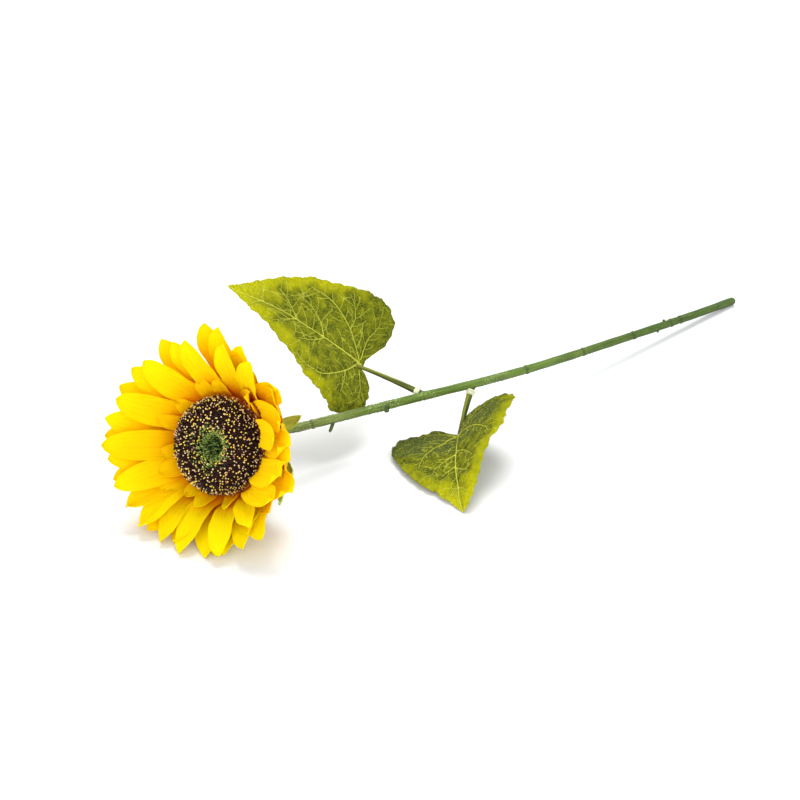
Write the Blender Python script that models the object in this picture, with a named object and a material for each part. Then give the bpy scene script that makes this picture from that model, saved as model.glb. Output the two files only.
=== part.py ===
# A cut sunflower of moulded plastic and die-cut cloth, lying on its petals, a leaf and its stem end.
# Metres, +Z up, the surface it lies on at Z = 0. The stem runs along +X, away from the head.

import math
import random

import bmesh
import bpy
from mathutils import Matrix, Vector

MM = 0.001
GAP = 0.3 * MM  # clearance between pieces that touch

# Moves the model so that its box is centred on the origin.
PLACE = Vector((11.2, -26.6, 0.0)) * MM

# Head. Its local +Z is the axis that the face looks along, and its local +X is the top of the head.
HEAD_CENTRE = Vector((-249.6, 33.5, 58.6)) * MM
HEAD_TILT = math.radians(21.9)  # the face looks up by this much
HEAD_YAW = math.radians(15.0)  # and turns from the stem's line by this much
CLOTH = 0.6 * MM
PEG_RADIUS = 2.9 * MM
PEG_HOLE_RADIUS = PEG_RADIUS + GAP
HUB_RADIUS = 18 * MM  # petals of a layer part company outside this

# Each cloth layer is a surface of revolution cut into petals. Its section starts at the edge of the hub
# and is a Bezier curve with these (radius, height) control points, in millimetres. Past the pivot radius
# a petal leans back by up to the spread, in degrees, and the petals at the top of the head lean further.
# Those at the bottom are bent by the surface they bear on: a petal that would pass through it is bent
# forward, and one within the settling angle of the bottom sinks back until it touches.
PETAL_LAYERS = {
    "petal_whorl_inner": {
        "count": 15, "turn": 9.0, "seed": 4, "spread": 2.0, "top_lean": 0.0, "pivot": 38, "settling": 0,
        "section": ((18, -14.3), (39, -14.0), (38.5, 2.0), (46, 17.0)),
    },
    "petal_whorl_front": {
        "count": 15, "turn": 0.0, "seed": 11, "spread": 0.8, "top_lean": 10.0, "pivot": 38, "settling": 0,
        "section": ((18, -15.6), (47, -20.0), (47, 27.0), (81, 41.0)),
    },
    "petal_whorl_middle": {
        "count": 15, "turn": 8.0, "seed": 12, "spread": 0.8, "top_lean": 10.0, "pivot": 38, "settling": 0,
        "section": ((18, -16.9), (52, -26.0), (51.5, 22.0), (79, 35.2)),
    },
    "petal_whorl_back": {
        "count": 15, "turn": 16.0, "seed": 13, "spread": 0.8, "top_lean": 10.0, "pivot": 38, "settling": 22,
        "section": ((18, -18.2), (57, -32.0), (55.5, 17.0), (77, 29.4)),
    },
}
SEPAL_LAYER = {
    "count": 15, "turn": -3.0, "seed": 21, "spread": 4.0, "top_lean": 4.0, "pivot": 24, "settling": 0,
    "section": ((18, -20.2), (44, -33.0), (53, -24.0), (60, -9.0)),
}
# Share of the pitch that a petal or a sepal fills, at shares of its length.
PETAL_OUTLINE = ((0.0, 1.0), (0.25, 0.96), (0.48, 0.96), (0.7, 0.93), (0.88, 0.68), (1.0, 0.2))
SHORT_OUTLINE = ((0.0, 1.0), (0.35, 0.95), (0.7, 0.8), (1.0, 0.2))
SEPAL_OUTLINE = ((0.0, 1.0), (0.3, 0.8), (0.6, 0.62), (0.85, 0.34), (1.0, 0.06))
LEAN_EASE = 16 * MM  # the lean comes on over this stretch
LEAN_STEP = math.radians(0.1)

# Turned pieces of the head: (radius, height) in millimetres, round the section.
DISC_BASE_SECTION = (
    (0, -4.6), (23, -4.6), (28.2, -6.4), (28.3, -8.4), (20, -13.2),
    (PEG_RADIUS / MM, -13.2), (PEG_RADIUS / MM, -26.6), (0, -26.6),
)
BRISTLE_SECTION = (
    (11.6, -4.2), (24, -4.2), (32.6, -6.0), (35.0, -3.0), (36.2, 2.5), (35.2, 9.5), (31.0, 16.5),
    (25.5, 20.3), (20.5, 20.6), (15.5, 18.0), (11.6, 12.5),
)
TUFT_SECTION = ((0, -4.2), (11.2, -4.2), (11.2, 10.5), (9.0, 13.6), (5.0, 15.2), (0, 15.6))
CALYX_SECTION = (
    (0, -27.0), (PEG_HOLE_RADIUS / MM, -27.0), (PEG_HOLE_RADIUS / MM, -20.9), (15.0, -20.9), (17.0, -22.6),
    (15.6, -27.5), (11.0, -33.5), (6.4, -38.0), (5.2, -41.0), (3.3, -41.0), (3.3, -28.5), (0, -28.5),
)
STEM_TOP_HEIGHT = -28.9  # on the head's axis, in the calyx's socket
SOCKET_HEIGHTS = (STEM_TOP_HEIGHT, -35.0, -41.5)

# Stem: the route of its centre line from below the calyx to the cut end, in millimetres.
STEM_ROUTE = (
    (-182, 43, 41.4), (-166.7, 41, 39.6), (-140, 36.5, 37.6), (-89, 24, 36.4), (-36, 11, 35.0),
    (-8.6, 6, 33.2), (22, 2.5, 30.6), (55, 0.5, 27.4), (91, 0, 23.9), (146, 0, 18.5), (203, 0, 12.9),
    (262, 0, 6.4), (300, 0, 2.3),
)
STEM_RADIUS_TOP = 2.85 * MM
STEM_RADIUS_END = 2.55 * MM
STEM_SIDES = 8
STEM_STEP = 17 * MM
CURVE_STEPS = 14
WIRE_RADIUS = 0.9 * MM
BORE_RADIUS = WIRE_RADIUS + GAP + 0.05 * MM
BORE_STOP = 16 * MM  # solid stretch at the cut end
NODE_SWELL = 0.45 * MM
NODE_PLACES = (-155, 41, 107, 169, 217)  # growth rings, as X in millimetres
# Small moulded lumps: (X in millimetres, direction across the stem, length, radius at the root).
SPURS = (
    (-134, (0.15, -0.45, -0.88), 7.6, 1.3),
    (-93, (0.1, -0.75, -0.65), 4.6, 2.0),
    (206, (0.0, -0.8, 0.6), 3.9, 1.3),
)

# Leaves. The margins are the flat outlines of the left and right halves, from the notch at the stalk to
# the tip: along and across the midrib, as shares of the leaf's length. Fold and curl are for both halves.
LEAF_ROWS = 29
LEAF_COLUMNS = 3
LEAF_CLOTH = 0.7 * MM
LEAVES = {
    "upper": {
        "base": (-84.2, 69.9, 54.3), "heading": 142.8, "rise": 49.2, "roll": -30.0, "length": 118.0,
        "arch": 36.0, "fold": (13.0, 5.0), "curl": (25.0, -24.0), "stem_x": -57.0, "lift": 1.0,
        "margins": (
            (
                (0.018, 0.0), (-0.02, 0.025), (-0.12, 0.055), (-0.175, 0.12), (-0.185, 0.22),
                (-0.14, 0.34), (-0.04, 0.425), (0.09, 0.435), (0.26, 0.375), (0.44, 0.29),
                (0.62, 0.205), (0.82, 0.11), (1.0, 0.0),
            ),
            (
                (0.018, 0.0), (-0.01, 0.03), (-0.06, 0.09), (-0.11, 0.18), (-0.14, 0.28),
                (-0.125, 0.38), (-0.04, 0.465), (0.10, 0.485), (0.24, 0.445), (0.38, 0.385),
                (0.53, 0.315), (0.70, 0.215), (0.86, 0.105), (1.0, 0.0),
            ),
        ),
    },
    "lower": {
        "base": (-48.6, -11.0, 8.9), "heading": -138.6, "rise": 7.5, "roll": 24.7, "length": 108.0,
        "arch": 26.3, "fold": (34.0, 15.1), "curl": (30.0, -4.0), "stem_x": -13.5, "lift": 4.0,
        "margins": (
            (
                (0.018, 0.0), (-0.01, 0.03), (-0.11, 0.07), (-0.155, 0.14), (-0.12, 0.25),
                (-0.07, 0.36), (-0.01, 0.46), (0.10, 0.525), (0.25, 0.485), (0.38, 0.42),
                (0.52, 0.33), (0.70, 0.215), (0.86, 0.115), (1.0, 0.0),
            ),
            (
                (0.018, 0.0), (-0.01, 0.03), (-0.07, 0.10), (-0.10, 0.19), (-0.085, 0.29),
                (-0.05, 0.38), (0.04, 0.45), (0.17, 0.475), (0.31, 0.44), (0.45, 0.38),
                (0.60, 0.305), (0.76, 0.195), (0.90, 0.075), (1.0, 0.0),
            ),
        ),
    },
}
SPINE_SHARE = 0.62  # the stalk runs on under the blade for this share of its length
SPINE_DROP = 1.85 * MM  # centre of the stalk below the blade
BOSS_REACH = 6.2 * MM  # from the stem's centre line to the face of the boss
BOSS_RADIUS = 2.3 * MM
BOSS_ROOT = 2.0 * MM
PIN_RADIUS = 1.05 * MM
PIN_HOLE_RADIUS = PIN_RADIUS + GAP
PIN_SEAT = 3.0 * MM
PIN_SHOWN = 2.2 * MM
STALK_RADII = (2.25, 2.15, 1.75, 1.45, 1.35, 1.2, 1.0, 0.8, 0.55)

COLOURS = {
    "petal": ((1.0, 0.72, 0.0), 0.6, 0.0),
    "sepal": ((0.22, 0.33, 0.04), 0.65, 0.0),
    "leaf": ((0.21, 0.27, 0.02), 0.6, 0.0),
    "stem": ((0.12, 0.19, 0.04), 0.5, 0.0),
    "pin": ((0.75, 0.76, 0.62), 0.45, 0.0),
    "wire": ((0.55, 0.55, 0.56), 0.35, 1.0),
    "bristle": ((0.035, 0.012, 0.02), 0.7, 0.0),
    "tuft": ((0.06, 0.14, 0.03), 0.7, 0.0),
    "disc": ((0.05, 0.02, 0.02), 0.6, 0.0),
}


def material(name):
    """The Principled material called name, made on its first use."""
    found = bpy.data.materials.get(name)
    if found:
        return found
    colour, roughness, metallic = COLOURS[name]
    made = bpy.data.materials.new(name)
    made.use_nodes = True
    shader = made.node_tree.nodes["Principled BSDF"]
    shader.inputs["Base Color"].default_value = (*colour, 1.0)
    shader.inputs["Roughness"].default_value = roughness
    shader.inputs["Metallic"].default_value = metallic
    made.diffuse_color = (*colour, 1.0)
    return made


def add_object(name, bm, finish, parent):
    """An object called name from a bmesh, with its faces pointing out."""
    bmesh.ops.recalc_face_normals(bm, faces=bm.faces)
    mesh = bpy.data.meshes.new(name)
    bm.to_mesh(mesh)
    bm.free()
    mesh.shade_smooth()
    mesh.set_sharp_from_angle(angle=math.radians(40))
    mesh.materials.append(material(finish))
    obj = bpy.data.objects.new(name, mesh)
    bpy.context.scene.collection.objects.link(obj)
    obj.parent = parent
    return obj


def add_empty(name, matrix, parent=None):
    empty = bpy.data.objects.new(name, None)
    bpy.context.scene.collection.objects.link(empty)
    empty.parent = parent
    empty.matrix_local = matrix
    return empty


def thicken(obj, thickness):
    """Gives a surface its cloth thickness, half to each side."""
    solidify = obj.modifiers.new("cloth", "SOLIDIFY")
    solidify.thickness = thickness
    solidify.offset = 0.0
    solidify.use_even_offset = False


def bezier(points, share):
    """The point of a cubic Bezier section at a share of its parameter."""
    a, b, c, d = (Vector(point) * MM for point in points)
    rest = 1 - share
    return rest**3 * a + 3 * rest**2 * share * b + 3 * rest * share**2 * c + share**3 * d


def smooth_curve(points, per_span):
    """Catmull-Rom points through the given ones."""
    ends = [2 * points[0] - points[1], *points, 2 * points[-1] - points[-2]]
    made = []
    for start in range(len(points) - 1):
        a, b, c, d = ends[start:start + 4]
        for step in range(per_span):
            t = step / per_span
            square = (2 * a - 5 * b + 4 * c - d) * t**2
            cube = (3 * b - a - 3 * c + d) * t**3
            made.append(0.5 * (2 * b + (c - a) * t + square + cube))
    made.append(points[-1].copy())
    return made


def spaced(points, count):
    """The curve's points again, at count even distances."""
    lengths = [(b - a).length for a, b in zip(points, points[1:])]
    total = sum(lengths)
    made = []
    span, passed = 0, 0.0
    for index in range(count + 1):
        target = min(total * index / count, total - 1e-9)
        while passed + lengths[span] < target:
            passed += lengths[span]
            span += 1
        made.append(points[span].lerp(points[span + 1], (target - passed) / lengths[span]))
    return made


def evenly(points, step):
    """The curve's points again, at even distances of about step."""
    total = sum((b - a).length for a, b in zip(points, points[1:]))
    return spaced(points, max(2, round(total / step)))


def sides_along(path):
    """For each point of a path, two directions across it that don't twist."""
    tangents = []
    for index in range(len(path)):
        ahead = path[min(index + 1, len(path) - 1)]
        behind = path[max(index - 1, 0)]
        tangents.append((ahead - behind).normalized())
    side = tangents[0].orthogonal().normalized()
    made = []
    for tangent in tangents:
        side = (side - tangent * side.dot(tangent)).normalized()
        made.append((side, tangent.cross(side)))
    return made


def ring_of(bm, centre, across, radius, sides):
    """A ring of vertices round centre."""
    first, second = across
    turns = [2 * math.pi * index / sides for index in range(sides)]
    return [
        bm.verts.new(centre + radius * (math.cos(turn) * first + math.sin(turn) * second)) for turn in turns
    ]


def join_rings(bm, one, other):
    for index in range(len(one)):
        following = (index + 1) % len(one)
        bm.faces.new((one[index], one[following], other[following], other[index]))


def tube(bm, path, radii, sides, bore_radius=0.0, bore_points=0):
    """A closed round bar along path. A bore runs in from its first point over bore_points points."""
    across = sides_along(path)
    rings = [ring_of(bm, *place, radius, sides) for *place, radius in zip(path, across, radii)]
    for one, other in zip(rings, rings[1:]):
        join_rings(bm, one, other)
    bm.faces.new(rings[-1])
    if not bore_points:
        bm.faces.new(rings[0])
        return
    bore = [
        ring_of(bm, path[index], across[index], bore_radius, sides) for index in range(bore_points)
    ]
    join_rings(bm, rings[0], bore[0])
    for one, other in zip(bore, bore[1:]):
        join_rings(bm, one, other)
    bm.faces.new(bore[-1])


def turned(name, section, segments, finish, parent):
    """A solid turned round its parent's Z from a closed section, with poles where it meets the axis."""
    bm = bmesh.new()
    rings = []
    for radius, height in section:
        if radius == 0:
            rings.append([bm.verts.new((0, 0, height * MM))])
            continue
        ring = []
        for index in range(segments):
            turn = 2 * math.pi * index / segments
            out = radius * MM
            ring.append(bm.verts.new((out * math.cos(turn), out * math.sin(turn), height * MM)))
        rings.append(ring)
    for one, other in zip(rings, rings[1:] + rings[:1]):
        for index in range(segments):
            following = (index + 1) % segments
            corners = {}
            for ring, place in ((one, index), (one, following), (other, following), (other, index)):
                corners[ring[place % len(ring)]] = None
            if len(corners) > 2:
                bm.faces.new(list(corners))
    return add_object(name, bm, finish, parent)


def leaned(point, pivot, lean):
    """A point of the section, as (radius, height), turned back about the pivot by an eased lean."""
    arm = point - pivot
    if arm.x <= 0:
        return point
    turn = lean * min(1.0, arm.length / LEAN_EASE)
    return pivot + Vector((
        arm.x * math.cos(turn) + arm.y * math.sin(turn),
        arm.y * math.cos(turn) - arm.x * math.sin(turn),
    ))


def petal_places(rows, pivot, lean):
    """The rows of (section point, direction) of a petal as places in the head's axes."""
    placed = []
    for row in rows:
        made = []
        for point, direction in row:
            radius, height = leaned(point, pivot, lean)
            made.append(Vector((*(radius * direction), height)))
        placed.append(made)
    return placed


def clears(rows, pivot, lean, head_matrix):
    """Whether a petal with this lean stays above the surface."""
    placed = petal_places(rows, pivot, lean)
    return min((head_matrix @ place).z for row in placed for place in row) >= CLOTH / 2


def resting_petal(rows, pivot, lean, settles, head_matrix):
    """The petal, bent forward if it would pass through the surface, or sunk back until it touches."""
    while not clears(rows, pivot, lean, head_matrix):
        lean -= LEAN_STEP
    while settles and clears(rows, pivot, lean + LEAN_STEP, head_matrix):
        lean += LEAN_STEP
    return petal_places(rows, pivot, lean)


def whorl(name, layer, outline, columns, finish, parent, head_matrix):
    """One die-cut cloth layer: a hub with a hole for the peg, and petals parted by slits."""
    rng = random.Random(layer["seed"])
    pitch = 2 * math.pi / layer["count"]
    turn = math.radians(layer["turn"])
    bm = bmesh.new()
    hub_height = layer["section"][0][1] * MM
    samples = [bezier(layer["section"], step / 100) for step in range(101)]
    pivot = next(point for point in samples if point.x >= layer["pivot"] * MM)
    ring_count = layer["count"] * columns
    hole, hub = [], []
    for index in range(ring_count):
        angle = turn + (index / columns - 0.5) * pitch
        direction = Vector((math.cos(angle), math.sin(angle)))
        hole.append(bm.verts.new((*(PEG_HOLE_RADIUS * direction), hub_height)))
        hub.append(bm.verts.new((*(HUB_RADIUS * direction), hub_height)))
    join_rings(bm, hole, hub)
    for petal in range(layer["count"]):
        middle = turn + petal * pitch
        lean = rng.uniform(-1, 1) * layer["spread"] + layer["top_lean"] * max(0.0, math.cos(middle)) ** 2
        rows = []
        for share, fill in outline[1:]:
            row = []
            for column in range(columns + 1):
                across = 2 * column / columns - 1
                trimmed = share * (1 - 0.07 * across**2 * share**3)
                angle = middle + across * fill * pitch / 2
                direction = Vector((math.cos(angle), math.sin(angle)))
                row.append((bezier(layer["section"], trimmed), direction))
            rows.append(row)
        before = [hub[(petal * columns + column) % ring_count] for column in range(columns + 1)]
        settles = math.cos(middle) < -math.cos(math.radians(layer["settling"]))
        for row in resting_petal(rows, pivot, math.radians(lean), settles, head_matrix):
            made = [bm.verts.new(place) for place in row]
            for column in range(columns):
                bm.faces.new((before[column], before[column + 1], made[column + 1], made[column]))
            before = made
    obj = add_object(name, bm, finish, parent)
    thicken(obj, CLOTH)
    return obj


def leaf_matrix(leaf):
    """From the leaf's own axes, along the midrib, to its left and out of its face, to the model's."""
    heading, rise, roll = (math.radians(leaf[key]) for key in ("heading", "rise", "roll"))
    ahead = Vector((math.cos(rise) * math.cos(heading), math.cos(rise) * math.sin(heading), math.sin(rise)))
    level = Vector((-math.sin(heading), math.cos(heading), 0))
    left = level * math.cos(roll) + ahead.cross(level) * math.sin(roll)
    turn = Matrix((ahead, left, ahead.cross(left))).transposed()
    return Matrix.Translation(Vector(leaf["base"]) * MM) @ turn.to_4x4()


def leaf_point(leaf, along, across, below=0.0):
    """A flat point of the leaf, as shares of its length, on the arched and folded blade."""
    length = leaf["length"] * MM
    arch = math.radians(leaf["arch"])
    bend = arch * along
    side = 0 if across >= 0 else 1
    fold = math.radians(leaf["fold"][side])
    curl = math.radians(leaf["curl"][side]) / (0.45 * length)
    width = abs(across) * length
    if abs(curl) < 1e-6:
        out, up = width * math.cos(fold), width * math.sin(fold)
    else:
        out = (math.sin(fold) - math.sin(fold - curl * width)) / curl
        up = (math.cos(fold - curl * width) - math.cos(fold)) / curl
    up -= below
    return Vector((
        length / arch * math.sin(bend) + up * math.sin(bend),
        math.copysign(out, across),
        -length / arch * (1 - math.cos(bend)) + up * math.cos(bend),
    ))


def leaf_blade(name, leaf, parent):
    """The cloth blade: rows of vertices fan from the midrib to the margin on both sides."""
    bm = bmesh.new()
    first = leaf["margins"][0][0][0]
    spine = [Vector((first + (1 - first) * (row / LEAF_ROWS) ** 1.7, 0.0)) for row in range(LEAF_ROWS + 1)]
    middle = [bm.verts.new(leaf_point(leaf, place.x, 0.0)) for place in spine]
    for outline, side in zip(leaf["margins"], (1, -1)):
        margin = spaced(smooth_curve([Vector(point) for point in outline], 12), LEAF_ROWS)
        before = [middle[0]]
        for row in range(1, LEAF_ROWS + 1):
            made = [middle[row]]
            if row < LEAF_ROWS:
                for column in range(1, LEAF_COLUMNS + 1):
                    flat = spine[row].lerp(margin[row], column / LEAF_COLUMNS)
                    made.append(bm.verts.new(leaf_point(leaf, flat.x, side * flat.y)))
            for column in range(LEAF_COLUMNS):
                ends = {}
                ahead = column + 1
                for ring, place in ((before, column), (before, ahead), (made, ahead), (made, column)):
                    ends[ring[min(place, len(ring) - 1)]] = None
                if len(ends) > 2:
                    bm.faces.new(list(ends))
            before = made
    obj = add_object(name, bm, "leaf", parent)
    thicken(obj, LEAF_CLOTH)
    return obj


def nearest(path, x):
    """The point of the stem's path at this X, and the direction of the stem there."""
    for a, b in zip(path, path[1:]):
        if a.x <= x <= b.x:
            return a.lerp(b, (x - a.x) / (b.x - a.x)), (b - a).normalized()
    raise ValueError("no stem there")


def stalk_route(leaf, path):
    """The leaf stalk's route: out of the stem's boss, to the notch, and on under the midrib."""
    root, _ = nearest(path, leaf["stem_x"] * MM)
    place = leaf_matrix(leaf)
    notch = place @ Vector((-8 * MM, 0, leaf["lift"] * MM))
    dip = place @ Vector((-1.8 * MM, 0, 0.2 * MM - SPINE_DROP))
    outward = (notch - root).normalized()
    face = root + outward * BOSS_REACH
    start = face + outward * PIN_SHOWN
    under = [
        place @ leaf_point(leaf, SPINE_SHARE * share, 0.0, SPINE_DROP) for share in (0.045, 0.35, 0.7, 1.0)
    ]
    bow = start.lerp(notch, 0.5) + Vector((0, 0, 1.2 * MM))
    points = [start, start + outward * 6 * MM, bow, notch, dip, *under]
    return root, outward, face, evenly(smooth_curve(points, 10), 4.2 * MM)


def interpolate(values, share):
    """The value at a share of an evenly spaced list."""
    place = min(share * (len(values) - 1), len(values) - 1.000001)
    low = int(place)
    return values[low] + (values[low + 1] - values[low]) * (place - low)


def stem_radius(x, share):
    """The stem's radius: a slow taper with a swelling at each growth ring."""
    radius = STEM_RADIUS_TOP + (STEM_RADIUS_END - STEM_RADIUS_TOP) * share
    for place in NODE_PLACES:
        off = abs(x / MM - place)
        radius += NODE_SWELL * max(0.0, 1 - off / 3.0)
    return radius


def combine(obj, bm, operation):
    """Joins a closed helper shape to obj, or cuts it out of it."""
    helper = add_object(obj.name + "_helper", bm, "stem", obj.parent)
    helper.hide_render = True
    helper.display_type = "WIRE"
    boolean = obj.modifiers.new(operation.lower(), "BOOLEAN")
    boolean.operation = operation
    boolean.object = helper


def build_stem(root, head_matrix):
    """The moulded stem with its spurs, and the wire in it. The bore is cut once the bosses are on."""
    socket = [head_matrix @ Vector((0, 0, height * MM)) for height in SOCKET_HEIGHTS]
    route = [Vector(point) * MM for point in STEM_ROUTE]
    curve = smooth_curve(socket + route, CURVE_STEPS)
    in_socket = CURVE_STEPS * (len(socket) - 1)
    path = [*curve[:in_socket:CURVE_STEPS], *evenly(curve[in_socket:], STEM_STEP)]
    for place in NODE_PLACES:
        for shift in (-3.0, 0.0, 3.0):
            point, _ = nearest(path, (place + shift) * MM)
            path.append(point)
    path.sort(key=lambda point: point.x)
    merged = [path[0]]
    for point in path[1:]:
        if (point - merged[-1]).length > 1.2 * MM:
            merged.append(point)
    path = merged
    end_direction = (path[-1] - path[-2]).normalized()
    body = path[:-1] + [path[-1] - end_direction * back * MM for back in (2.6, 0.8, 0.0)]
    radii = [stem_radius(point.x, index / (len(body) - 1)) for index, point in enumerate(body)]
    radii[-2] *= 0.86
    radii[-1] *= 0.5
    bm = bmesh.new()
    tube(bm, body, radii, STEM_SIDES)
    stem = add_object("stem", bm, "stem", root)

    core = [point for point in body if (point - path[-1]).length > BORE_STOP]
    inward = (core[1] - core[0]).normalized() * GAP
    onward = (core[-1] - core[-2]).normalized() * GAP
    bm = bmesh.new()
    tube(bm, [core[0] + inward, *core[1:]], [WIRE_RADIUS] * len(core), STEM_SIDES)
    add_object("stem_core_wire", bm, "wire", root)

    for x, direction, length, radius in SPURS:
        centre, along = nearest(path, x * MM)
        outward = Vector(direction)
        outward = (outward - along * outward.dot(along)).normalized()
        bm = bmesh.new()
        spur = [centre + outward * reach * MM for reach in (1.8, length * 0.6, length)]
        tube(bm, spur, [radius * MM, radius * 0.8 * MM, radius * 0.45 * MM], 7)
        combine(stem, bm, "UNION")
    bore = [core[0] - inward, *core[1:-1], core[-1] + onward]
    return stem, path, bore


def build_leaf(key, root, stem, path):
    """One leaf: the stem's boss, the pin in it, the stalk that fits over the pin, and the blade."""
    leaf = LEAVES[key]
    centre, outward, face, route = stalk_route(leaf, path)

    bm = bmesh.new()
    boss = [face, face - outward * PIN_SEAT, face - outward * (BOSS_REACH - BOSS_ROOT)]
    tube(bm, boss, [BOSS_RADIUS, BOSS_RADIUS * 1.05, BOSS_RADIUS * 0.8], 10)
    combine(stem, bm, "UNION")

    bm = bmesh.new()
    hole = [face + outward * MM, face - outward * (PIN_SEAT + GAP)]
    tube(bm, hole, [PIN_HOLE_RADIUS, PIN_HOLE_RADIUS], 10)
    combine(stem, bm, "DIFFERENCE")

    bm = bmesh.new()
    pin = [face - outward * PIN_SEAT, route[0] + outward * PIN_SEAT]
    tube(bm, pin, [PIN_RADIUS, PIN_RADIUS], 10)
    add_object("leaf_pin_" + key, bm, "pin", root)

    bm = bmesh.new()
    count = len(route)
    radii = [interpolate(STALK_RADII, index / (count - 1)) * MM for index in range(count)]
    tube(bm, route, radii, 10, PIN_HOLE_RADIUS, 2)
    add_object("leaf_stalk_" + key, bm, "stem", root)

    leaf_blade("leaf_blade_" + key, leaf, add_empty("leaf_" + key, leaf_matrix(leaf), root))


def build_head(root, head_matrix):
    """The head, in layers from the seeds to the calyx."""
    head = add_empty("head", head_matrix, root)
    turned("seed_bristles", BRISTLE_SECTION, 30, "bristle", head)
    turned("centre_tuft", TUFT_SECTION, 18, "tuft", head)
    turned("disc_base", DISC_BASE_SECTION, 24, "disc", head)
    for name, layer in PETAL_LAYERS.items():
        outline = SHORT_OUTLINE if name == "petal_whorl_inner" else PETAL_OUTLINE
        columns = 2 if name == "petal_whorl_inner" else 4
        whorl(name, layer, outline, columns, "petal", head, head_matrix)
    whorl("sepal_whorl", SEPAL_LAYER, SEPAL_OUTLINE, 2, "sepal", head, head_matrix)
    turned("calyx_cup", CALYX_SECTION, 20, "sepal", head)


def main():
    for obj in list(bpy.data.objects):
        bpy.data.objects.remove(obj)
    root = add_empty("cut_sunflower", Matrix.Translation(PLACE))
    turn = Matrix.Rotation(HEAD_YAW, 4, "Z") @ Matrix.Rotation(HEAD_TILT - math.pi / 2, 4, "Y")
    head_matrix = Matrix.Translation(HEAD_CENTRE) @ turn
    build_head(root, head_matrix)
    stem, path, bore = build_stem(root, head_matrix)
    for key in LEAVES:
        build_leaf(key, root, stem, path)
    bm = bmesh.new()
    tube(bm, bore, [BORE_RADIUS] * len(bore), STEM_SIDES)
    combine(stem, bm, "DIFFERENCE")


main()
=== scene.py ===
import math
import random

import bmesh
import bpy
import numpy as np
from mathutils import Matrix, Vector


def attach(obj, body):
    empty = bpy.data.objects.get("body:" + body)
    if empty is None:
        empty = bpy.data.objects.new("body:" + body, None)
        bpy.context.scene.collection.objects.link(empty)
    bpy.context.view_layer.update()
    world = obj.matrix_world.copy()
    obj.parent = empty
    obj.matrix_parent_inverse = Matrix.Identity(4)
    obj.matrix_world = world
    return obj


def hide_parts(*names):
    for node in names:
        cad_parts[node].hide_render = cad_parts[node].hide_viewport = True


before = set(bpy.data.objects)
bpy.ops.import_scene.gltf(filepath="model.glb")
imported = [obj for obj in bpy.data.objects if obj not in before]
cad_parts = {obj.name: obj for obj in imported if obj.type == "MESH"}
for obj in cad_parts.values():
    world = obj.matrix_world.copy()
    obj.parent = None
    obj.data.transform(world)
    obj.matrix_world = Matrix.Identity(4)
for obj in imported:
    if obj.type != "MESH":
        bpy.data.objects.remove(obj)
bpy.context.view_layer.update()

mm = 0.001
drawingShift = Vector((11.2, -26.6, 0.0)) * mm  # from the drawing's origin to the middle of the CAD box

# The head's own axes: +Z the way the face looks, +X the top of the head.
headPose = {"centre": (-249.6, 33.5, 58.6), "tilt": 21.9, "yaw": 15.0}
headMatrix = (
    Matrix.Translation(Vector(headPose["centre"]) * mm + drawingShift)
    @ Matrix.Rotation(math.radians(headPose["yaw"]), 4, "Z")
    @ Matrix.Rotation(math.radians(headPose["tilt"] - 90), 4, "Y")
)


def smoothStep(low, high, value):
    t = np.clip((value - low) / (high - low), 0.0, 1.0)
    return t * t * (3 - 2 * t)


def curvePoints(points, perSpan):
    # Catmull-Rom through the given points, as an array.
    points = np.array(points, float)
    ends = np.vstack((2 * points[0] - points[1], points, 2 * points[-1] - points[-2]))
    made = []
    for start in range(len(points) - 1):
        a, b, c, d = ends[start:start + 4]
        for step in range(perSpan):
            t = step / perSpan
            squared, cubed = 2 * a - 5 * b + 4 * c - d, 3 * b - a - 3 * c + d
            made.append(0.5 * (2 * b + (c - a) * t + squared * t**2 + cubed * t**3))
    made.append(points[-1])
    return np.array(made)


def distances(points):
    # How far along the line each of its points is.
    return np.concatenate(([0.0], np.cumsum(np.linalg.norm(np.diff(points, axis=0), axis=1))))


def spaced(points, count):
    # The same curve at count even distances.
    passed = distances(points)
    wanted = np.linspace(0.0, passed[-1], count + 1)
    return np.stack([np.interp(wanted, passed, points[:, axis]) for axis in range(points.shape[1])], axis=1)


def gridFaces(rows, columns, first=0):
    faces = []
    for row in range(rows - 1):
        for column in range(columns - 1):
            a = first + row * columns + column
            faces.append((a, a + 1, a + columns + 1, a + columns))
    return faces


def meshPiece(name, points, faces, material, uvs, values=None):
    # A mesh object from arrays. uvs and values hold one entry per point.
    mesh = bpy.data.meshes.new(name)
    mesh.from_pydata([tuple(point) for point in points], [], faces)
    mesh.validate()
    loops = np.empty(len(mesh.loops), np.int32)
    mesh.loops.foreach_get("vertex_index", loops)
    layer = mesh.uv_layers.new(name="UVMap")
    layer.data.foreach_set("uv", np.asarray(uvs, np.float32)[loops].ravel())
    for key, numbers in (values or {}).items():
        numbers = np.asarray(numbers, np.float32)
        isVector = numbers.ndim == 2
        carried = mesh.attributes.new(key, "FLOAT_VECTOR" if isVector else "FLOAT", "POINT")
        carried.data.foreach_set("vector" if isVector else "value", numbers.ravel())
    mesh.shade_smooth()
    mesh.materials.append(material)
    piece = bpy.data.objects.new(name, mesh)
    bpy.context.scene.collection.objects.link(piece)
    return piece


def thicken(piece, thickness):
    # Gives a sheet its wall, half to each side.
    wall = piece.modifiers.new("thickness", "SOLIDIFY")
    wall.thickness = thickness
    wall.offset = 0.0
    wall.use_even_offset = False


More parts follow.
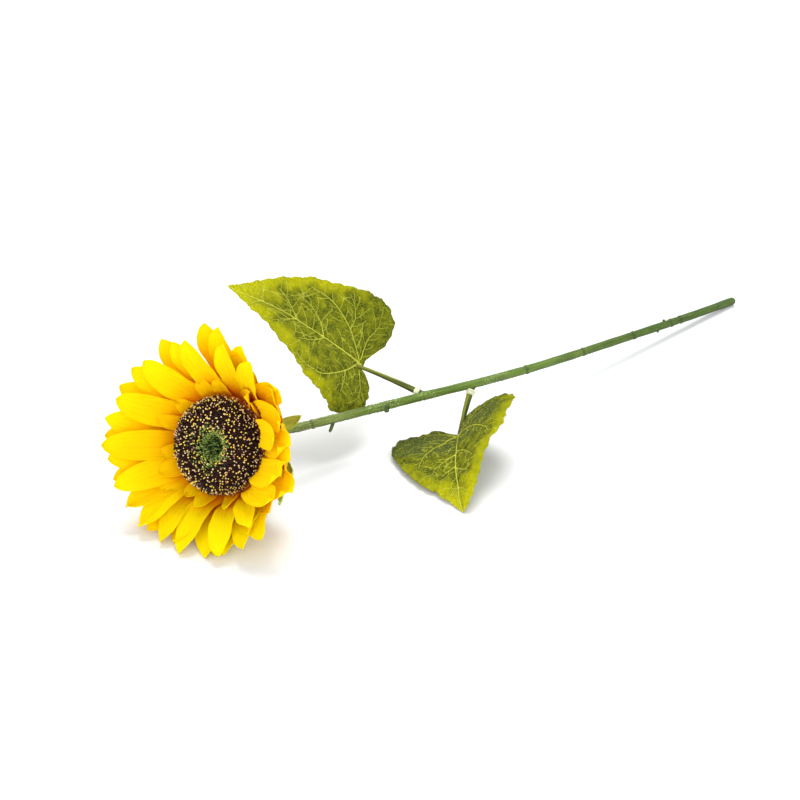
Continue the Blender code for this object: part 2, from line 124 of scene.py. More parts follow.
def tubeArrays(path, radii, sides, wobble=None):
    # Points, faces and UVs of a closed round bar along path. UVs are metres round and along.
    path = [Vector(point) for point in path]
    tangents = [
        (path[min(i + 1, len(path) - 1)] - path[max(i - 1, 0)]).normalized() for i in range(len(path))
    ]
    side = tangents[0].orthogonal().normalized()
    points, uvs = [], []
    travelled = 0.0
    for index, (place, tangent) in enumerate(zip(path, tangents)):
        side = (side - tangent * side.dot(tangent)).normalized()
        other = tangent.cross(side)
        if index:
            travelled += (place - path[index - 1]).length
        for corner in range(sides + 1):
            turn = 2 * math.pi * corner / sides
            radius = float(radii[index] * (1 + (wobble(turn, travelled) if wobble else 0.0)))
            points.append(place + radius * (math.cos(turn) * side + math.sin(turn) * other))
            uvs.append((turn * radii[0], travelled))
    faces = gridFaces(len(path), sides + 1)
    for end, flip in ((0, True), (len(path) - 1, False)):
        ring = [end * (sides + 1) + corner for corner in range(sides)]
        faces.append(tuple(reversed(ring)) if flip else tuple(ring))
    return points, faces, uvs


def weld(piece, distance=0.00001, turnOut=True):
    # Closes seams and, unless told not to, turns every face outwards.
    bm = bmesh.new()
    bm.from_mesh(piece.data)
    bmesh.ops.remove_doubles(bm, verts=bm.verts, dist=distance)
    if turnOut:
        bmesh.ops.recalc_face_normals(bm, faces=bm.faces)
    bm.to_mesh(piece.data)
    bm.free()
    piece.data.shade_smooth()
    return piece


def joined(parts):
    # Several (points, faces, uvs) sets as one.
    points, faces, uvs = [], [], []
    for partPoints, partFaces, partUvs in parts:
        start = len(points)
        points.extend(partPoints)
        uvs.extend(partUvs)
        faces.extend(tuple(start + corner for corner in face) for face in partFaces)
    return points, faces, uvs


def feed(socket, value):
    # Links a node's output to the socket, or sets a plain value. Colours come without alpha.
    if isinstance(value, bpy.types.NodeSocket):
        socket.id_data.links.new(value, socket)
    else:
        socket.default_value = (*value, 1.0) if socket.type == "RGBA" else value


def feedAll(node, inputs):
    # Feeds inputs by name. An underscore stands for the space in a socket's name.
    for name, value in inputs.items():
        feed(node.inputs[name.replace("_", " ")], value)
    return node


def addNode(tree, kind, **inputs):
    return feedAll(tree.nodes.new(kind), inputs)


def useGroup(group, **inputs):
    node = inputs["Vector"].id_data.nodes.new("ShaderNodeGroup")
    node.node_tree = group
    return feedAll(node, inputs)


def newGroup(name, kind, inputs, outputs):
    # A node group with its inputs (name, kind, value) and outputs (name, kind).
    tree = bpy.data.node_groups.new(name, kind)
    for socketName, socketKind, value in inputs:
        socket = tree.interface.new_socket(socketName, in_out="INPUT", socket_type="NodeSocket" + socketKind)
        if value is not None:
            socket.default_value = value
    for socketName, socketKind in outputs:
        tree.interface.new_socket(socketName, in_out="OUTPUT", socket_type="NodeSocket" + socketKind)
    return tree, tree.nodes.new("NodeGroupInput"), tree.nodes.new("NodeGroupOutput")


# Each of the helpers below adds its nodes to the tree that its inputs are in.
def mathNode(operation, first, *others, kind="ShaderNodeMath", output=0):
    node = first.id_data.nodes.new(kind)
    node.operation = operation
    for socket, value in zip(node.inputs, (first, *others)):
        feed(socket, value)
    return node.outputs[output]


def times(first, second):
    return mathNode("MULTIPLY", first, second)


def plus(first, second):
    return mathNode("ADD", first, second)


def larger(first, second):
    return mathNode("MAXIMUM", first, second)


def swing(noise, reach):
    # Noise from 0 to 1 as a swing about nought.
    return times(mathNode("SUBTRACT", noise, 0.5), reach)


def weighted(*parts):
    # The sum of (value, weight) pairs.
    total = None
    for value, weight in parts:
        part = value if weight == 1 else times(value, weight)
        total = part if total is None else plus(total, part)
    return total


def mapRange(value, low, high, toLow=0.0, toHigh=1.0):
    reaches = {"From Min": low, "From Max": high, "To Min": toLow, "To Max": toHigh}
    node = addNode(value.id_data, "ShaderNodeMapRange", Value=value, **reaches)
    node.interpolation_type = "SMOOTHSTEP"
    return node.outputs["Result"]


def mixColour(factor, first, second):
    node = factor.id_data.nodes.new("ShaderNodeMix")
    node.data_type = "RGBA"
    for socket, value in ((node.inputs[0], factor), (node.inputs[6], first), (node.inputs[7], second)):
        feed(socket, value)
    return node.outputs[2]


def tint(base, colour, value, low, high, strength=1.0):
    # Lays a colour over another as value goes from low to high.
    return mixColour(mapRange(value, low, high, 0.0, strength), base, colour)


def ramp(factor, stops):
    node = addNode(factor.id_data, "ShaderNodeValToRGB", Fac=factor)
    elements = node.color_ramp.elements
    while len(elements) < len(stops):
        elements.new(0.5)
    for element, (place, colour) in zip(elements, stops):
        element.position = place
        element.color = (*colour, 1.0)
    return node.outputs[0]


def scaledNoise(vector, scale, detail=2.0, roughness=0.5):
    # Noise in cells per metre: one number, or one for each axis.
    scale = scale if isinstance(scale, tuple) else (scale,) * 3
    moved = addNode(vector.id_data, "ShaderNodeMapping", Vector=vector, Scale=scale).outputs[0]
    sizes = {"Scale": 1.0, "Detail": detail, "Roughness": roughness}
    return addNode(vector.id_data, "ShaderNodeTexNoise", Vector=moved, **sizes).outputs["Fac"]


def clothWeaveGroup():
    # Fine plain weave with slubs, from a vector in metres.
    tree, source, sink = newGroup(
        "clothWeave", "ShaderNodeTree",
        (("Vector", "Vector", (0, 0, 0)), ("Threads per metre", "Float", 1900.0)),
        (("Height", "Float"), ("Slub", "Float")),
    )
    split = addNode(tree, "ShaderNodeSeparateXYZ", Vector=source.outputs["Vector"])
    waves = []
    for axis in (0, 1):
        turned = times(split.outputs[axis], source.outputs["Threads per metre"])
        waves.append(mathNode("SINE", times(turned, 2 * math.pi)))
    slub = scaledNoise(source.outputs["Vector"], (900.0, 60.0, 60.0), 3.0)
    feedAll(sink, {"Height": times(*waves), "Slub": slub})
    return tree


def mouldedGrainGroup():
    # Speckle and faint stains of moulded plastic, from Object coordinates.
    tree, source, sink = newGroup(
        "mouldedGrain", "ShaderNodeTree",
        (("Vector", "Vector", (0, 0, 0)), ("Grain per metre", "Float", 900.0)),
        (("Grain", "Float"), ("Stain", "Float")),
    )
    scaled = tree.nodes.new("ShaderNodeVectorMath")
    scaled.operation = "SCALE"
    feedAll(scaled, {"Vector": source.outputs["Vector"], "Scale": source.outputs["Grain per metre"]})
    grain = addNode(tree, "ShaderNodeTexNoise", Vector=scaled.outputs[0], Scale=1.0, Detail=3.0)
    stain = scaledNoise(source.outputs["Vector"], 60.0, 3.0)
    feedAll(sink, {"Grain": grain.outputs["Fac"], "Stain": stain})
    return tree


clothWeave = clothWeaveGroup()
mouldedGrain = mouldedGrainGroup()


def newMaterial(name, roughness, sheen=0.0, specular=0.5):
    made = bpy.data.materials.new(name)
    made.use_nodes = True
    tree = made.node_tree
    shader = tree.nodes["Principled BSDF"]
    shader.inputs["Roughness"].default_value = roughness
    shader.inputs["Sheen Weight"].default_value = sheen
    shader.inputs["Specular IOR Level"].default_value = specular
    return made, tree, shader


def attribute(tree, name, output="Fac"):
    # One of the numbers or vectors that the mesh carries at each point.
    node = tree.nodes.new("ShaderNodeAttribute")
    node.attribute_name = name
    return node.outputs[output]


def uvVector(tree):
    return tree.nodes.new("ShaderNodeTexCoord").outputs["UV"]


def objectVector(tree):
    return tree.nodes.new("ShaderNodeTexCoord").outputs["Object"]


def paint(shader, colour, height, depth, strength):
    # Feeds a material's colour and its bump, whose depth is in metres.
    relief = addNode(shader.id_data, "ShaderNodeBump", Height=height, Distance=depth, Strength=strength)
    feedAll(shader, {"Base Color": colour, "Normal": relief.outputs["Normal"]})


def glowThrough(shader, colour, share):
    # Lets some of the light through thin cloth.
    tree = shader.id_data
    through = addNode(tree, "ShaderNodeBsdfTranslucent", Color=colour)
    mix = addNode(tree, "ShaderNodeMixShader", Fac=share)
    feed(mix.inputs[1], shader.outputs["BSDF"])
    feed(mix.inputs[2], through.outputs["BSDF"])
    feed(tree.nodes["Material Output"].inputs["Surface"], mix.outputs[0])


petalFinish = {
    # dye from the hub to the tip: share of the length, colour
    "dyes": (
        (0.0, (0.90, 0.16, 0.0)), (0.26, (0.90, 0.16, 0.0)), (0.38, (1.0, 0.36, 0.0)),
        (0.50, (1.0, 0.60, 0.0)), (0.66, (1.0, 0.84, 0.0)),
    ),
    "deepYellow": (1.0, 0.60, 0.0), "through": 0.38, "threads": 1900.0, "depth": 0.0005,
    "streaks": (520.0, 16.0, 1.0), "streakReach": 0.18, "streakHeight": 0.5, "weaveHeight": 0.10,
    # The last number on the next line is painted shade: how much deeper orange is laid in the petals' rib
    # hollows.
    "blotches": (70.0, 25.0, 1.0), "blotchWarmth": 0.35, "ribHollowShade": 0.22,
    # how much deeper each petal is dyed, from the one at the top of the head round by its left side
    "tones": (0.22, 0.26, 0.32, 0.38, 0.44, 0.32, 0.08, -0.2, -0.2, 0.0, 0.34, 0.46, 0.46, 0.40, 0.24),
    "toneSpread": 0.08,
}


def petalMaterial():
    made, tree, shader = newMaterial("petalCloth", 0.8, specular=0.08)
    uv = uvVector(tree)
    along, tone, rib = (attribute(tree, name) for name in ("along", "tone", "rib"))
    streaks = scaledNoise(uv, petalFinish["streaks"], 4.0, 0.6)
    blotches = scaledNoise(uv, petalFinish["blotches"])
    reach = plus(along, swing(streaks, petalFinish["streakReach"]))
    base = ramp(reach, petalFinish["dyes"])
    # Painted shade: deeper orange in the rib hollows, patchy where the streak noise runs, added to the dye's
    # own tones and blotches.
    warm = times(mapRange(rib, 0.15, 1.0), mapRange(streaks, 0.40, 0.62))
    warm = plus(times(warm, petalFinish["ribHollowShade"]), tone)
    warm = plus(warm, swing(blotches, petalFinish["blotchWarmth"]))
    warm = times(warm, mapRange(along, 0.4, 0.6))
    colour = mixColour(larger(warm, 0.0), base, petalFinish["deepYellow"])
    weave = useGroup(clothWeave, Vector=uv, Threads_per_metre=petalFinish["threads"])
    height = weighted(
        (weave.outputs["Height"], petalFinish["weaveHeight"]), (weave.outputs["Slub"], 1),
        (streaks, petalFinish["streakHeight"]),
    )
    paint(shader, colour, height, petalFinish["depth"], 0.5)
    glowThrough(shader, colour, petalFinish["through"])
    return made


# Sections run from the hub outwards as Bezier (radius, height) control points, in millimetres.
# turns, leans and bends are each petal's own, in degrees. lengths and widths are shares of the usual one, and
# blunts under 1 square the tip. flares and twists are in millimetres: how far the tip turns out, and how far
# one side stands above the other.
longPetals = {
    "count": 15, "spread": 0.8, "topLean": 10.0, "columns": 19, "rows": 46, "ribs": 3, "ribHeight": 0.30,
    "outline": (
        (0, 1.0), (0.42, 1.08), (0.58, 1.08), (0.70, 1.0), (0.80, 0.87), (0.88, 0.69), (0.94, 0.48),
        (0.98, 0.25), (1.0, 0.0),
    ),
}
petalLayers = {
    "petalsInner": {
        "node": "petal_whorl_inner", "count": 15, "turn": 9.0, "seed": 4, "spread": 2.0, "topLean": 0.0,
        "section": ((18, -14.3), (40, -14.0), (38.5, 3.0), (53, 20.0)),
        "outline": (
            (0, 1.0), (0.5, 1.02), (0.7, 0.96), (0.82, 0.84), (0.91, 0.64), (0.97, 0.40), (0.99, 0.24),
            (1.0, 0.0),
        ),
        "turns": (3, -5, 4, 0, 6, -3, 5, -4, 3, 6, -5, 4, -2, 5, -4),
        "leans": (18, 16, 15, 10, 12, 10, 4, 5, 3, 0, 2, -2, 0, -2, 2),
        "lengths": (0.80, 0.84, 0.78, 0.92, 0.84, 0.90, 0.78, 0.84, 0.80, 0.85, 0.9, 0.86, 0.72, 0.86, 0.98),
        "bends": (0, 0, 0, 0, 0, 0, 0, 0, 0, 0, 6, 0, 0, 0, -8),
        "twists": (0, 0, 0, 0, 0, 0, 0, 0, 0, 0, -2, 0, 0, 0, -4),
        "widths": (0.8, 0.9, 0.8, 0.7, 0.8, 0.95, 0.8, 0.9, 0.8, 0.8, 0.8, 0.7, 0.8, 0.8, 0.9),
        "columns": 13, "rows": 26, "cup": 1.4, "ribs": 2, "ribHeight": 0.30, "tipCurl": 1.0, "tone": 0.20,
        "baseReach": 0.68,
    },
    "petalsFront": {
        **longPetals, "node": "petal_whorl_front", "turn": 0.0, "seed": 11,
        "section": ((18, -15.6), (47, -20.0), (47, 27.0), (81, 41.0)),
        "turns": (-7, -5, 0, 2, 7, 6, 1, 10, 13, 11, 1, -3, 11, 6, -1),
        "leans": (-7, -5, -4, -3, -1, -2, -2, 0, -3, -7, -22, -25, -23, -17, -7),
        "lengths": (0.96, 0.95, 0.94, 0.95, 0.98, 0.95, 0.95, 0.98, 0.99, 0.92, 1.0, 1.0, 1.0, 0.92, 0.98),
        "bends": (0, 0, 0, 0, 0, 0, 8, 7, 2, 5, 16, 9, -8, -17, 0),
        "flares": (0, 0, 0, 0, 0, 0, 10, 6, 6, 6, 23, 24, 18, 16, 0),
        "twists": (0, 0, 0, 0, 0, 0, 4, 2.5, -2, -3.3, -0.2, -3.7, -1.4, -2.2, 0),
        "widths": (0.9, 0.95, 1.0, 1.05, 1.0, 0.92, 0.88, 0.94, 0.82, 0.75, 0.9, 1.02, 0.97, 0.9, 0.85),
        "blunts": (1.15, 1.1, 1.05, 0.95, 1.05, 1.1, 1.15, 1.2, 1.2, 1.0, 0.6, 0.55, 0.55, 0.6, 1.0),
        "cup": 1.8, "tipCurl": 2.0, "tone": 0.0, "baseReach": 1.0,
    },
    "petalsMiddle": {
        **longPetals, "node": "petal_whorl_middle", "turn": 8.0, "seed": 12,
        "section": ((18, -16.9), (52, -26.0), (51.5, 22.0), (79, 35.2)),
        "turns": (-4, -5, 2, 8, 7, 8, 4, 12, 19, 5, 9, 8, -7, 9, 2),
        "leans": (1, -4, -1, 1, 0, -6, -4, 0, 5, 4, -9, -20, -19, -11, -3),
        "lengths": (1.01, 0.97, 0.99, 1.02, 0.99, 1.0, 1.0, 1.02, 0.97, 0.97, 0.99, 1.01, 0.98, 0.90, 0.99),
        "bends": (0, 0, 0, 0, 0, 4, 13, 10, 1, 2, 5, -3, -4, -12, 0),
        "flares": (0, 0, 0, 0, 0, 8, 6, 6, 0.4, 4.2, 16, 20, 18.5, 13, 0),
        "twists": (0, 0, 0, 0, 0, 4, 4, 0.6, -1.9, 0, -3.6, -4.3, -4.5, 1.7, 0),
        "widths": (0.85, 0.95, 0.9, 0.9, 0.95, 0.85, 0.83, 0.86, 0.80, 0.76, 0.97, 0.97, 0.84, 0.88, 0.88),
        "blunts": (1.2, 1.2, 1.15, 1.2, 1.1, 1.2, 1.2, 1.25, 1.25, 1.1, 0.6, 0.6, 0.6, 0.6, 1.0),
        "cup": 1.6, "tipCurl": 1.5, "tone": 0.03, "baseReach": 0.95,
    },
    "petalsBack": {
        **longPetals, "node": "petal_whorl_back", "turn": 16.0, "seed": 13,
        "section": ((18, -18.2), (57, -32.0), (55.5, 17.0), (77, 29.4)),
        "turns": (-2, -2, 7, 9, 10, 16, 14, 8, 2, -6, -12, -10, -14, -10, -2),
        "leans": (5, 3, 3, 3, 2, 1, 3, 3, 3, -1, 0, 0, -3, -6, -8),
        "lengths": (1.03, 1.03, 1.04, 1.06, 1.03, 1.0, 1.01, 1.01, 1.0, 0.96, 0.92, 0.92, 0.92, 0.93, 0.96),
        "bends": (0, 0, 0, 0, 0, 5, 3, 11, -4, 0, 0, 0, 0, 0, 0),
        "flares": (0, 0, 0, 0, 0, 0, 3.4, 3.3, 0, 0, 0, 0, 0, 0, 0),
        "twists": (0, 0, 0, 0, 0, 0, 4.6, 0, 0, 0, 0, 0, 0, 0, 0),
        "widths": (0.85, 0.9, 0.85, 0.9, 0.9, 0.85, 0.92, 0.95, 0.85, 0.8, 0.85, 0.85, 0.85, 0.85, 0.85),
        "blunts": (1.25,) * 15,
        "cup": 1.6, "tipCurl": 1.5, "tone": 0.10, "baseReach": 0.92,
    },
}
petalCloth = {
    "thickness": 0.45, "hubRings": (3.2, 10.0, 18.6), "pivot": 38.0, "leanEase": 16.0, "bearing": 0.3,
    "leanStep": 0.2, "creaseDepth": 0.5, "creaseWidth": 0.16, "ruffle": 0.35, "uvGap": 0.05,
}


def bezierSection(section, share):
    a, b, c, d = (np.array(point, float) for point in section)
    t = np.asarray(share, float)[..., None]
    return (1 - t) ** 3 * a + 3 * (1 - t) ** 2 * t * b + 3 * (1 - t) * t**2 * c + t**3 * d


def leanBack(places, pivot, lean):
    # Turns (radius, height) places back about the pivot by an eased angle.
    arm = places - pivot
    length = np.linalg.norm(arm, axis=-1)
    turn = lean * np.minimum(1.0, length / petalCloth["leanEase"])
    radius = arm[..., 0] * np.cos(turn) + arm[..., 1] * np.sin(turn)
    height = arm[..., 1] * np.cos(turn) - arm[..., 0] * np.sin(turn)
    turned = pivot + np.stack((radius, height), axis=-1)
    return np.where(arm[..., :1] <= 0, places, turned)


def toWorld(places):
    # Head millimetres to metres in the model's frame.
    matrix = np.array(headMatrix)
    return (np.asarray(places) * mm) @ matrix[:3, :3].T + matrix[:3, 3]


def petalSurface(layer, petal, middle, lean, rng, across, along):
    # One petal's places in head millimetres, with its ribs, cupping and curled tip.
    def own(key, usual):
        return layer[key][petal] if key in layer else usual

    narrowed = 1 + (own("widths", 1.0) - 1) * smoothStep(0.3, 0.6, along)
    width = np.interp(along, *np.array(layer["outline"]).T) ** own("blunts", 1.0)
    width = width * rng.uniform(0.97, 1.03) * narrowed
    share = along * layer["lengths"][petal]
    section = bezierSection(layer["section"], share)
    ahead = bezierSection(layer["section"], share + 0.01) - bezierSection(layer["section"], share - 0.01)
    ahead /= np.linalg.norm(ahead, axis=-1)[..., None]
    samples = bezierSection(layer["section"], np.linspace(0, 1, 101))
    pivot = samples[np.argmax(samples[:, 0] >= layer.get("pivot", petalCloth["pivot"]))]
    grown = smoothStep(0.30, 0.62, along)
    outer = smoothStep(0.5, 1.0, along)
    tip = smoothStep(0.72, 1.0, along)
    ribs = np.cos(math.pi * across * (2 * layer["ribs"])) * layer["ribHeight"] * grown * (1 - 0.7 * tip)
    crease = np.exp(-((across / petalCloth["creaseWidth"]) ** 2)) * grown * (1 - tip)
    edge = rng.uniform(0.5, 1.2) * layer["cup"] * across**2 * grown
    sway = rng.uniform(-0.8, 0.8) * across * outer * layer["cup"]
    ruffle = petalCloth["ruffle"] * np.sin(along * rng.uniform(24, 34) + rng.uniform(0, 6))
    ruffle = ruffle * np.abs(across) ** 3 * grown
    curl = rng.uniform(-0.4, 1.0) * layer["tipCurl"] * tip**1.5
    twist = own("twists", 0.0) * across * smoothStep(0.3, 0.8, along)
    lift = ribs - petalCloth["creaseDepth"] * crease + edge + sway + ruffle + curl + twist
    lift -= own("flares", 0.0) * outer
    normal = np.stack((-ahead[..., 1], ahead[..., 0]), axis=-1)
    raised = leanBack(section + normal * lift[..., None], pivot, lean)
    pitch = 2 * math.pi / layer["count"]
    bend = (rng.uniform(-0.06, 0.06) * pitch + math.radians(own("bends", 0.0))) * outer
    angle = middle + across * width * pitch / 2 + bend
    return np.stack((raised[..., 0] * np.cos(angle), raised[..., 0] * np.sin(angle), raised[..., 1]), axis=-1)


def restingLean(layer, petal, middle, lean, grid, seed):
    # Bends a petal forward until it clears the surface.
    def lowest(angle):
        return toWorld(petalSurface(layer, petal, middle, angle, random.Random(seed), *grid))[..., 2].min()

    while lowest(lean) < petalCloth["bearing"] * mm:
        lean -= math.radians(petalCloth["leanStep"])
    return lean


def petalPiece(name, layer, material):
    rng = random.Random(layer["seed"])
    pitch = 2 * math.pi / layer["count"]
    columns, rows = layer["columns"], layer["rows"]
    across, along = np.meshgrid(np.linspace(-1, 1, columns), 1 - (1 - np.linspace(0, 1, rows)) ** 1.35)
    width = np.interp(along, *np.array(layer["outline"]).T)
    ribs = (0.5 - 0.5 * np.cos(math.pi * across * 2 * layer["ribs"])).ravel()
    points, faces, uvs = [], [], []
    values = {"along": [], "tone": [], "rib": []}
    for petal in range(layer["count"]):
        middle = math.radians(layer["turn"]) + petal * pitch
        lean = rng.uniform(-1, 1) * layer["spread"] + layer["topLean"] * max(0.0, math.cos(middle)) ** 2
        middle += math.radians(layer["turns"][petal])
        lean = math.radians(lean + layer["leans"][petal])
        seed = layer["seed"] * 100 + petal
        lean = restingLean(layer, petal, middle, lean, (across, along), seed)
        places = petalSurface(layer, petal, middle, lean, random.Random(seed), across, along)
        faces.extend(gridFaces(rows, columns, len(points)))
        points.extend(places.reshape(-1, 3))
        travelled = distances(places[:, columns // 2])[:, None] * mm + 0 * across
        reach = np.linalg.norm(places[..., :2], axis=-1) * width * pitch / 2 * mm
        uvs.extend(np.stack((across * reach + petalCloth["uvGap"] * petal, travelled), -1).reshape(-1, 2))
        dye = random.Random(seed + 7).uniform(-petalFinish["toneSpread"], petalFinish["toneSpread"])
        values["along"].extend(along.ravel() * layer["baseReach"])
        values["tone"].extend(np.full(along.size, layer["tone"] + petalFinish["tones"][petal] + dye))
        values["rib"].extend(ribs)
    hubStart = len(points)
    turns = np.linspace(0, 2 * math.pi, 61)
    height = layer["section"][0][1]
    for radius in petalCloth["hubRings"]:
        points.extend(np.stack((radius * np.cos(turns), radius * np.sin(turns), height + 0 * turns), -1))
        uvs.extend(np.stack((turns * 0.01, 0 * turns + radius * mm), -1))
        for numbers in values.values():
            numbers.extend(0 * turns)
    faces.extend(gridFaces(len(petalCloth["hubRings"]), len(turns), hubStart))
    piece = weld(meshPiece(name, toWorld(np.array(points)), faces, material, uvs, values), 0.000005)
    thicken(piece, petalCloth["thickness"] * mm)
    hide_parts(layer["node"])
    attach(piece, "root")


petalCloths = petalMaterial()
for layerName, layerSizes in petalLayers.items():
    petalPiece(layerName, layerSizes, petalCloths)
print("petals made")


# Both pads' sections are (radius, height) on the head's axes. The seed pad's runs once round its ring.
seedPad = {
    "section": (
        (11.6, -4.2), (11.6, 6.0), (12.6, 11.0), (15.4, 14.8), (18.6, 16.6), (22.0, 16.7), (26.0, 15.0),
        (29.8, 11.0), (32.0, 5.6), (32.4, 0.0), (31.0, -4.0), (24.0, -4.2), (11.6, -4.2),
    ),
    "steps": 72, "bristleSpacing": 1.25, "bristleLength": 4.2, "bristleRadius": 0.42, "tilt": 0.42, "seed": 5,
    # colour of the tips by chance: from, colour, to
    "tips": (
        (0.0, (0.010, 0.004, 0.005), 0.42), (0.44, (0.78, 0.60, 0.30), 0.66),
        (0.70, (0.85, 0.62, 0.06), 0.90), (0.92, (0.55, 0.28, 0.20), 1.0),
    ),
    "dark": (0.010, 0.004, 0.005), "reddish": (0.060, 0.014, 0.008), "rimGlow": (0.75, 0.16, 0.01),
    "felt": (0.05, 0.012, 0.012), "greenEdge": 0.30,
}
centreTuft = {
    "section": ((0.0, 8.6), (4.0, 8.4), (7.5, 7.4), (10.0, 5.0), (11.0, 0.0), (11.0, -4.2), (0.0, -4.2)),
    "steps": 40, "bristleSpacing": 0.95, "bristleLength": 4.6, "bristleRadius": 0.36, "tilt": 0.35, "seed": 8,
    "dark": (0.018, 0.032, 0.008), "light": (0.25, 0.34, 0.06), "felt": (0.02, 0.07, 0.01),
}
bristleShape = {"sides": 5, "narrowing": 0.6, "tipRadius": 1.45, "sizes": (0.78, 1.15), "densest": 3.0e6}


def latheArrays(profile, steps, uvSize, swell=0.0):
    # A (radius, height) profile turned about the head's axis, swelled by millimetres where asked.
    turns = np.linspace(0, 2 * math.pi, steps + 1)
    radius = np.maximum(profile[:, :1] + swell, 0.0)
    places = np.stack((radius * np.cos(turns), radius * np.sin(turns), profile[:, 1:] + 0 * turns), axis=-1)
    along = np.linspace(0, uvSize[1], len(profile))[:, None] + 0 * turns
    uvs = np.stack((uvSize[0] * turns + 0 * radius, along), axis=-1)
    return toWorld(places.reshape(-1, 3)), gridFaces(len(profile), steps + 1), uvs.reshape(-1, 2)


def padPiece(name, pad, material):
    # "rim" runs from 0 at the section's first point to 1 at its last.
    profile = spaced(curvePoints(pad["section"], 5), 40)
    points, faces, uvs = latheArrays(profile, pad["steps"], (0.03, 0.06))
    rim = np.repeat(np.linspace(0, 1, len(profile)), pad["steps"] + 1)
    return weld(meshPiece(name, points, faces, material, uvs, {"rim": rim}))


def bristleTree():
    # Round-tipped bristles standing on a surface, each with its own lean, length and chance of a pale tip.
    tree, source, sink = newGroup(
        "bristleField", "GeometryNodeTree",
        (
            ("Geometry", "Geometry", None), ("Spacing", "Float", 0.0013), ("Length", "Float", 0.004),
            ("Radius", "Float", 0.0004), ("Tip radius", "Float", 0.0006), ("Tilt", "Float", 0.4),
            ("Seed", "Int", 1), ("Material", "Material", None),
        ),
        (("Geometry", "Geometry"),),
    )
    field = source.outputs

    def randomValue(kind, low, high, offset):
        # Each bristle's own draw. The offset keeps the draws apart.
        node = tree.nodes.new("FunctionNodeRandomValue")
        node.data_type = kind
        first = {"FLOAT": 2, "FLOAT_VECTOR": 0}[kind]
        feed(node.inputs[first], low)
        feed(node.inputs[first + 1], high)
        feed(node.inputs["Seed"], plus(field["Seed"], offset))
        return node.outputs[{"FLOAT": 1, "FLOAT_VECTOR": 0}[kind]]

    scatter = tree.nodes.new("GeometryNodeDistributePointsOnFaces")
    scatter.distribute_method = "POISSON"
    feedAll(scatter, {
        "Mesh": field["Geometry"], "Distance Min": field["Spacing"], "Seed": field["Seed"],
        "Density Max": bristleShape["densest"],
    })

    shaft = addNode(
        tree, "GeometryNodeMeshCone", Vertices=bristleShape["sides"], Side_Segments=2, Depth=field["Length"],
        Radius_Bottom=field["Radius"], Radius_Top=times(field["Radius"], bristleShape["narrowing"]),
    )
    place = tree.nodes.new("GeometryNodeInputPosition").outputs[0]
    height = addNode(tree, "ShaderNodeSeparateXYZ", Vector=place).outputs["Z"]
    share = mathNode("DIVIDE", height, field["Length"])
    store = "GeometryNodeStoreNamedAttribute"
    shaft = addNode(tree, store, Geometry=shaft.outputs["Mesh"], Name="reach", Value=share)
    blob = addNode(tree, "GeometryNodeMeshIcoSphere", Radius=field["Tip radius"], Subdivisions=1)
    top = addNode(tree, "ShaderNodeCombineXYZ", Z=field["Length"]).outputs[0]
    blob = addNode(tree, "GeometryNodeTransform", Geometry=blob.outputs["Mesh"], Translation=top)
    blob = addNode(tree, store, Geometry=blob.outputs[0], Name="reach", Value=1.0)
    both = tree.nodes.new("GeometryNodeJoinGeometry")
    for part in (shaft, blob):
        tree.links.new(part.outputs[0], both.inputs[0])

    back = times(field["Tilt"], -1.0)
    low = addNode(tree, "ShaderNodeCombineXYZ", X=back, Y=back).outputs[0]
    high = addNode(tree, "ShaderNodeCombineXYZ", X=field["Tilt"], Y=field["Tilt"], Z=6.283).outputs[0]
    lean = tree.nodes.new("FunctionNodeEulerToRotation")
    feed(lean.inputs[0], randomValue("FLOAT_VECTOR", low, high, 11))
    turn = tree.nodes.new("FunctionNodeRotateRotation")
    turn.rotation_space = "LOCAL"
    feed(turn.inputs[0], scatter.outputs["Rotation"])
    feed(turn.inputs[1], lean.outputs[0])
    placed = addNode(
        tree, "GeometryNodeInstanceOnPoints", Points=scatter.outputs["Points"], Instance=both.outputs[0],
        Rotation=turn.outputs[0], Scale=randomValue("FLOAT", *bristleShape["sizes"], 23),
    )
    chance = randomValue("FLOAT", 0.0, 1.0, 37)
    tinted = addNode(tree, store, Geometry=placed.outputs[0], Name="chance", Value=chance)
    tinted.domain = "INSTANCE"
    real = addNode(tree, "GeometryNodeRealizeInstances", Geometry=tinted.outputs[0])
    finish = addNode(tree, "GeometryNodeSetMaterial", Geometry=real.outputs[0], Material=field["Material"])
    tree.links.new(finish.outputs[0], sink.inputs["Geometry"])
    return tree


def bristlePiece(name, pad, tree, material, sizes):
    # The finished bristles as one plain mesh of their own.
    piece = bpy.data.objects.new(name, pad.data.copy())
    bpy.context.scene.collection.objects.link(piece)
    field = piece.modifiers.new("bristles", "NODES")
    field.node_group = tree
    settings = {
        "Spacing": sizes["bristleSpacing"] * mm, "Length": sizes["bristleLength"] * mm,
        "Radius": sizes["bristleRadius"] * mm,
        "Tip radius": sizes["bristleRadius"] * bristleShape["tipRadius"] * mm,
        "Tilt": sizes["tilt"], "Seed": sizes["seed"], "Material": material,
    }
    for socket in tree.interface.items_tree:
        if socket.in_out == "INPUT" and socket.name in settings:
            field[socket.identifier] = settings[socket.name]
    made = bpy.data.meshes.new_from_object(piece.evaluated_get(bpy.context.evaluated_depsgraph_get()))
    piece.modifiers.clear()
    piece.data = made
    made.name = name
    made.shade_smooth()
    return piece


def bristleMaterial(name, colourOf):
    # colourOf gives the colour from the reach along a bristle and its own chance.
    made, tree, shader = newMaterial(name, 0.5, specular=0.35)
    colour = colourOf(attribute(tree, "reach"), attribute(tree, "chance"))
    grain = useGroup(mouldedGrain, Vector=objectVector(tree), Grain_per_metre=2500.0)
    paint(shader, colour, grain.outputs["Grain"], 0.0002, 0.5)
    return made


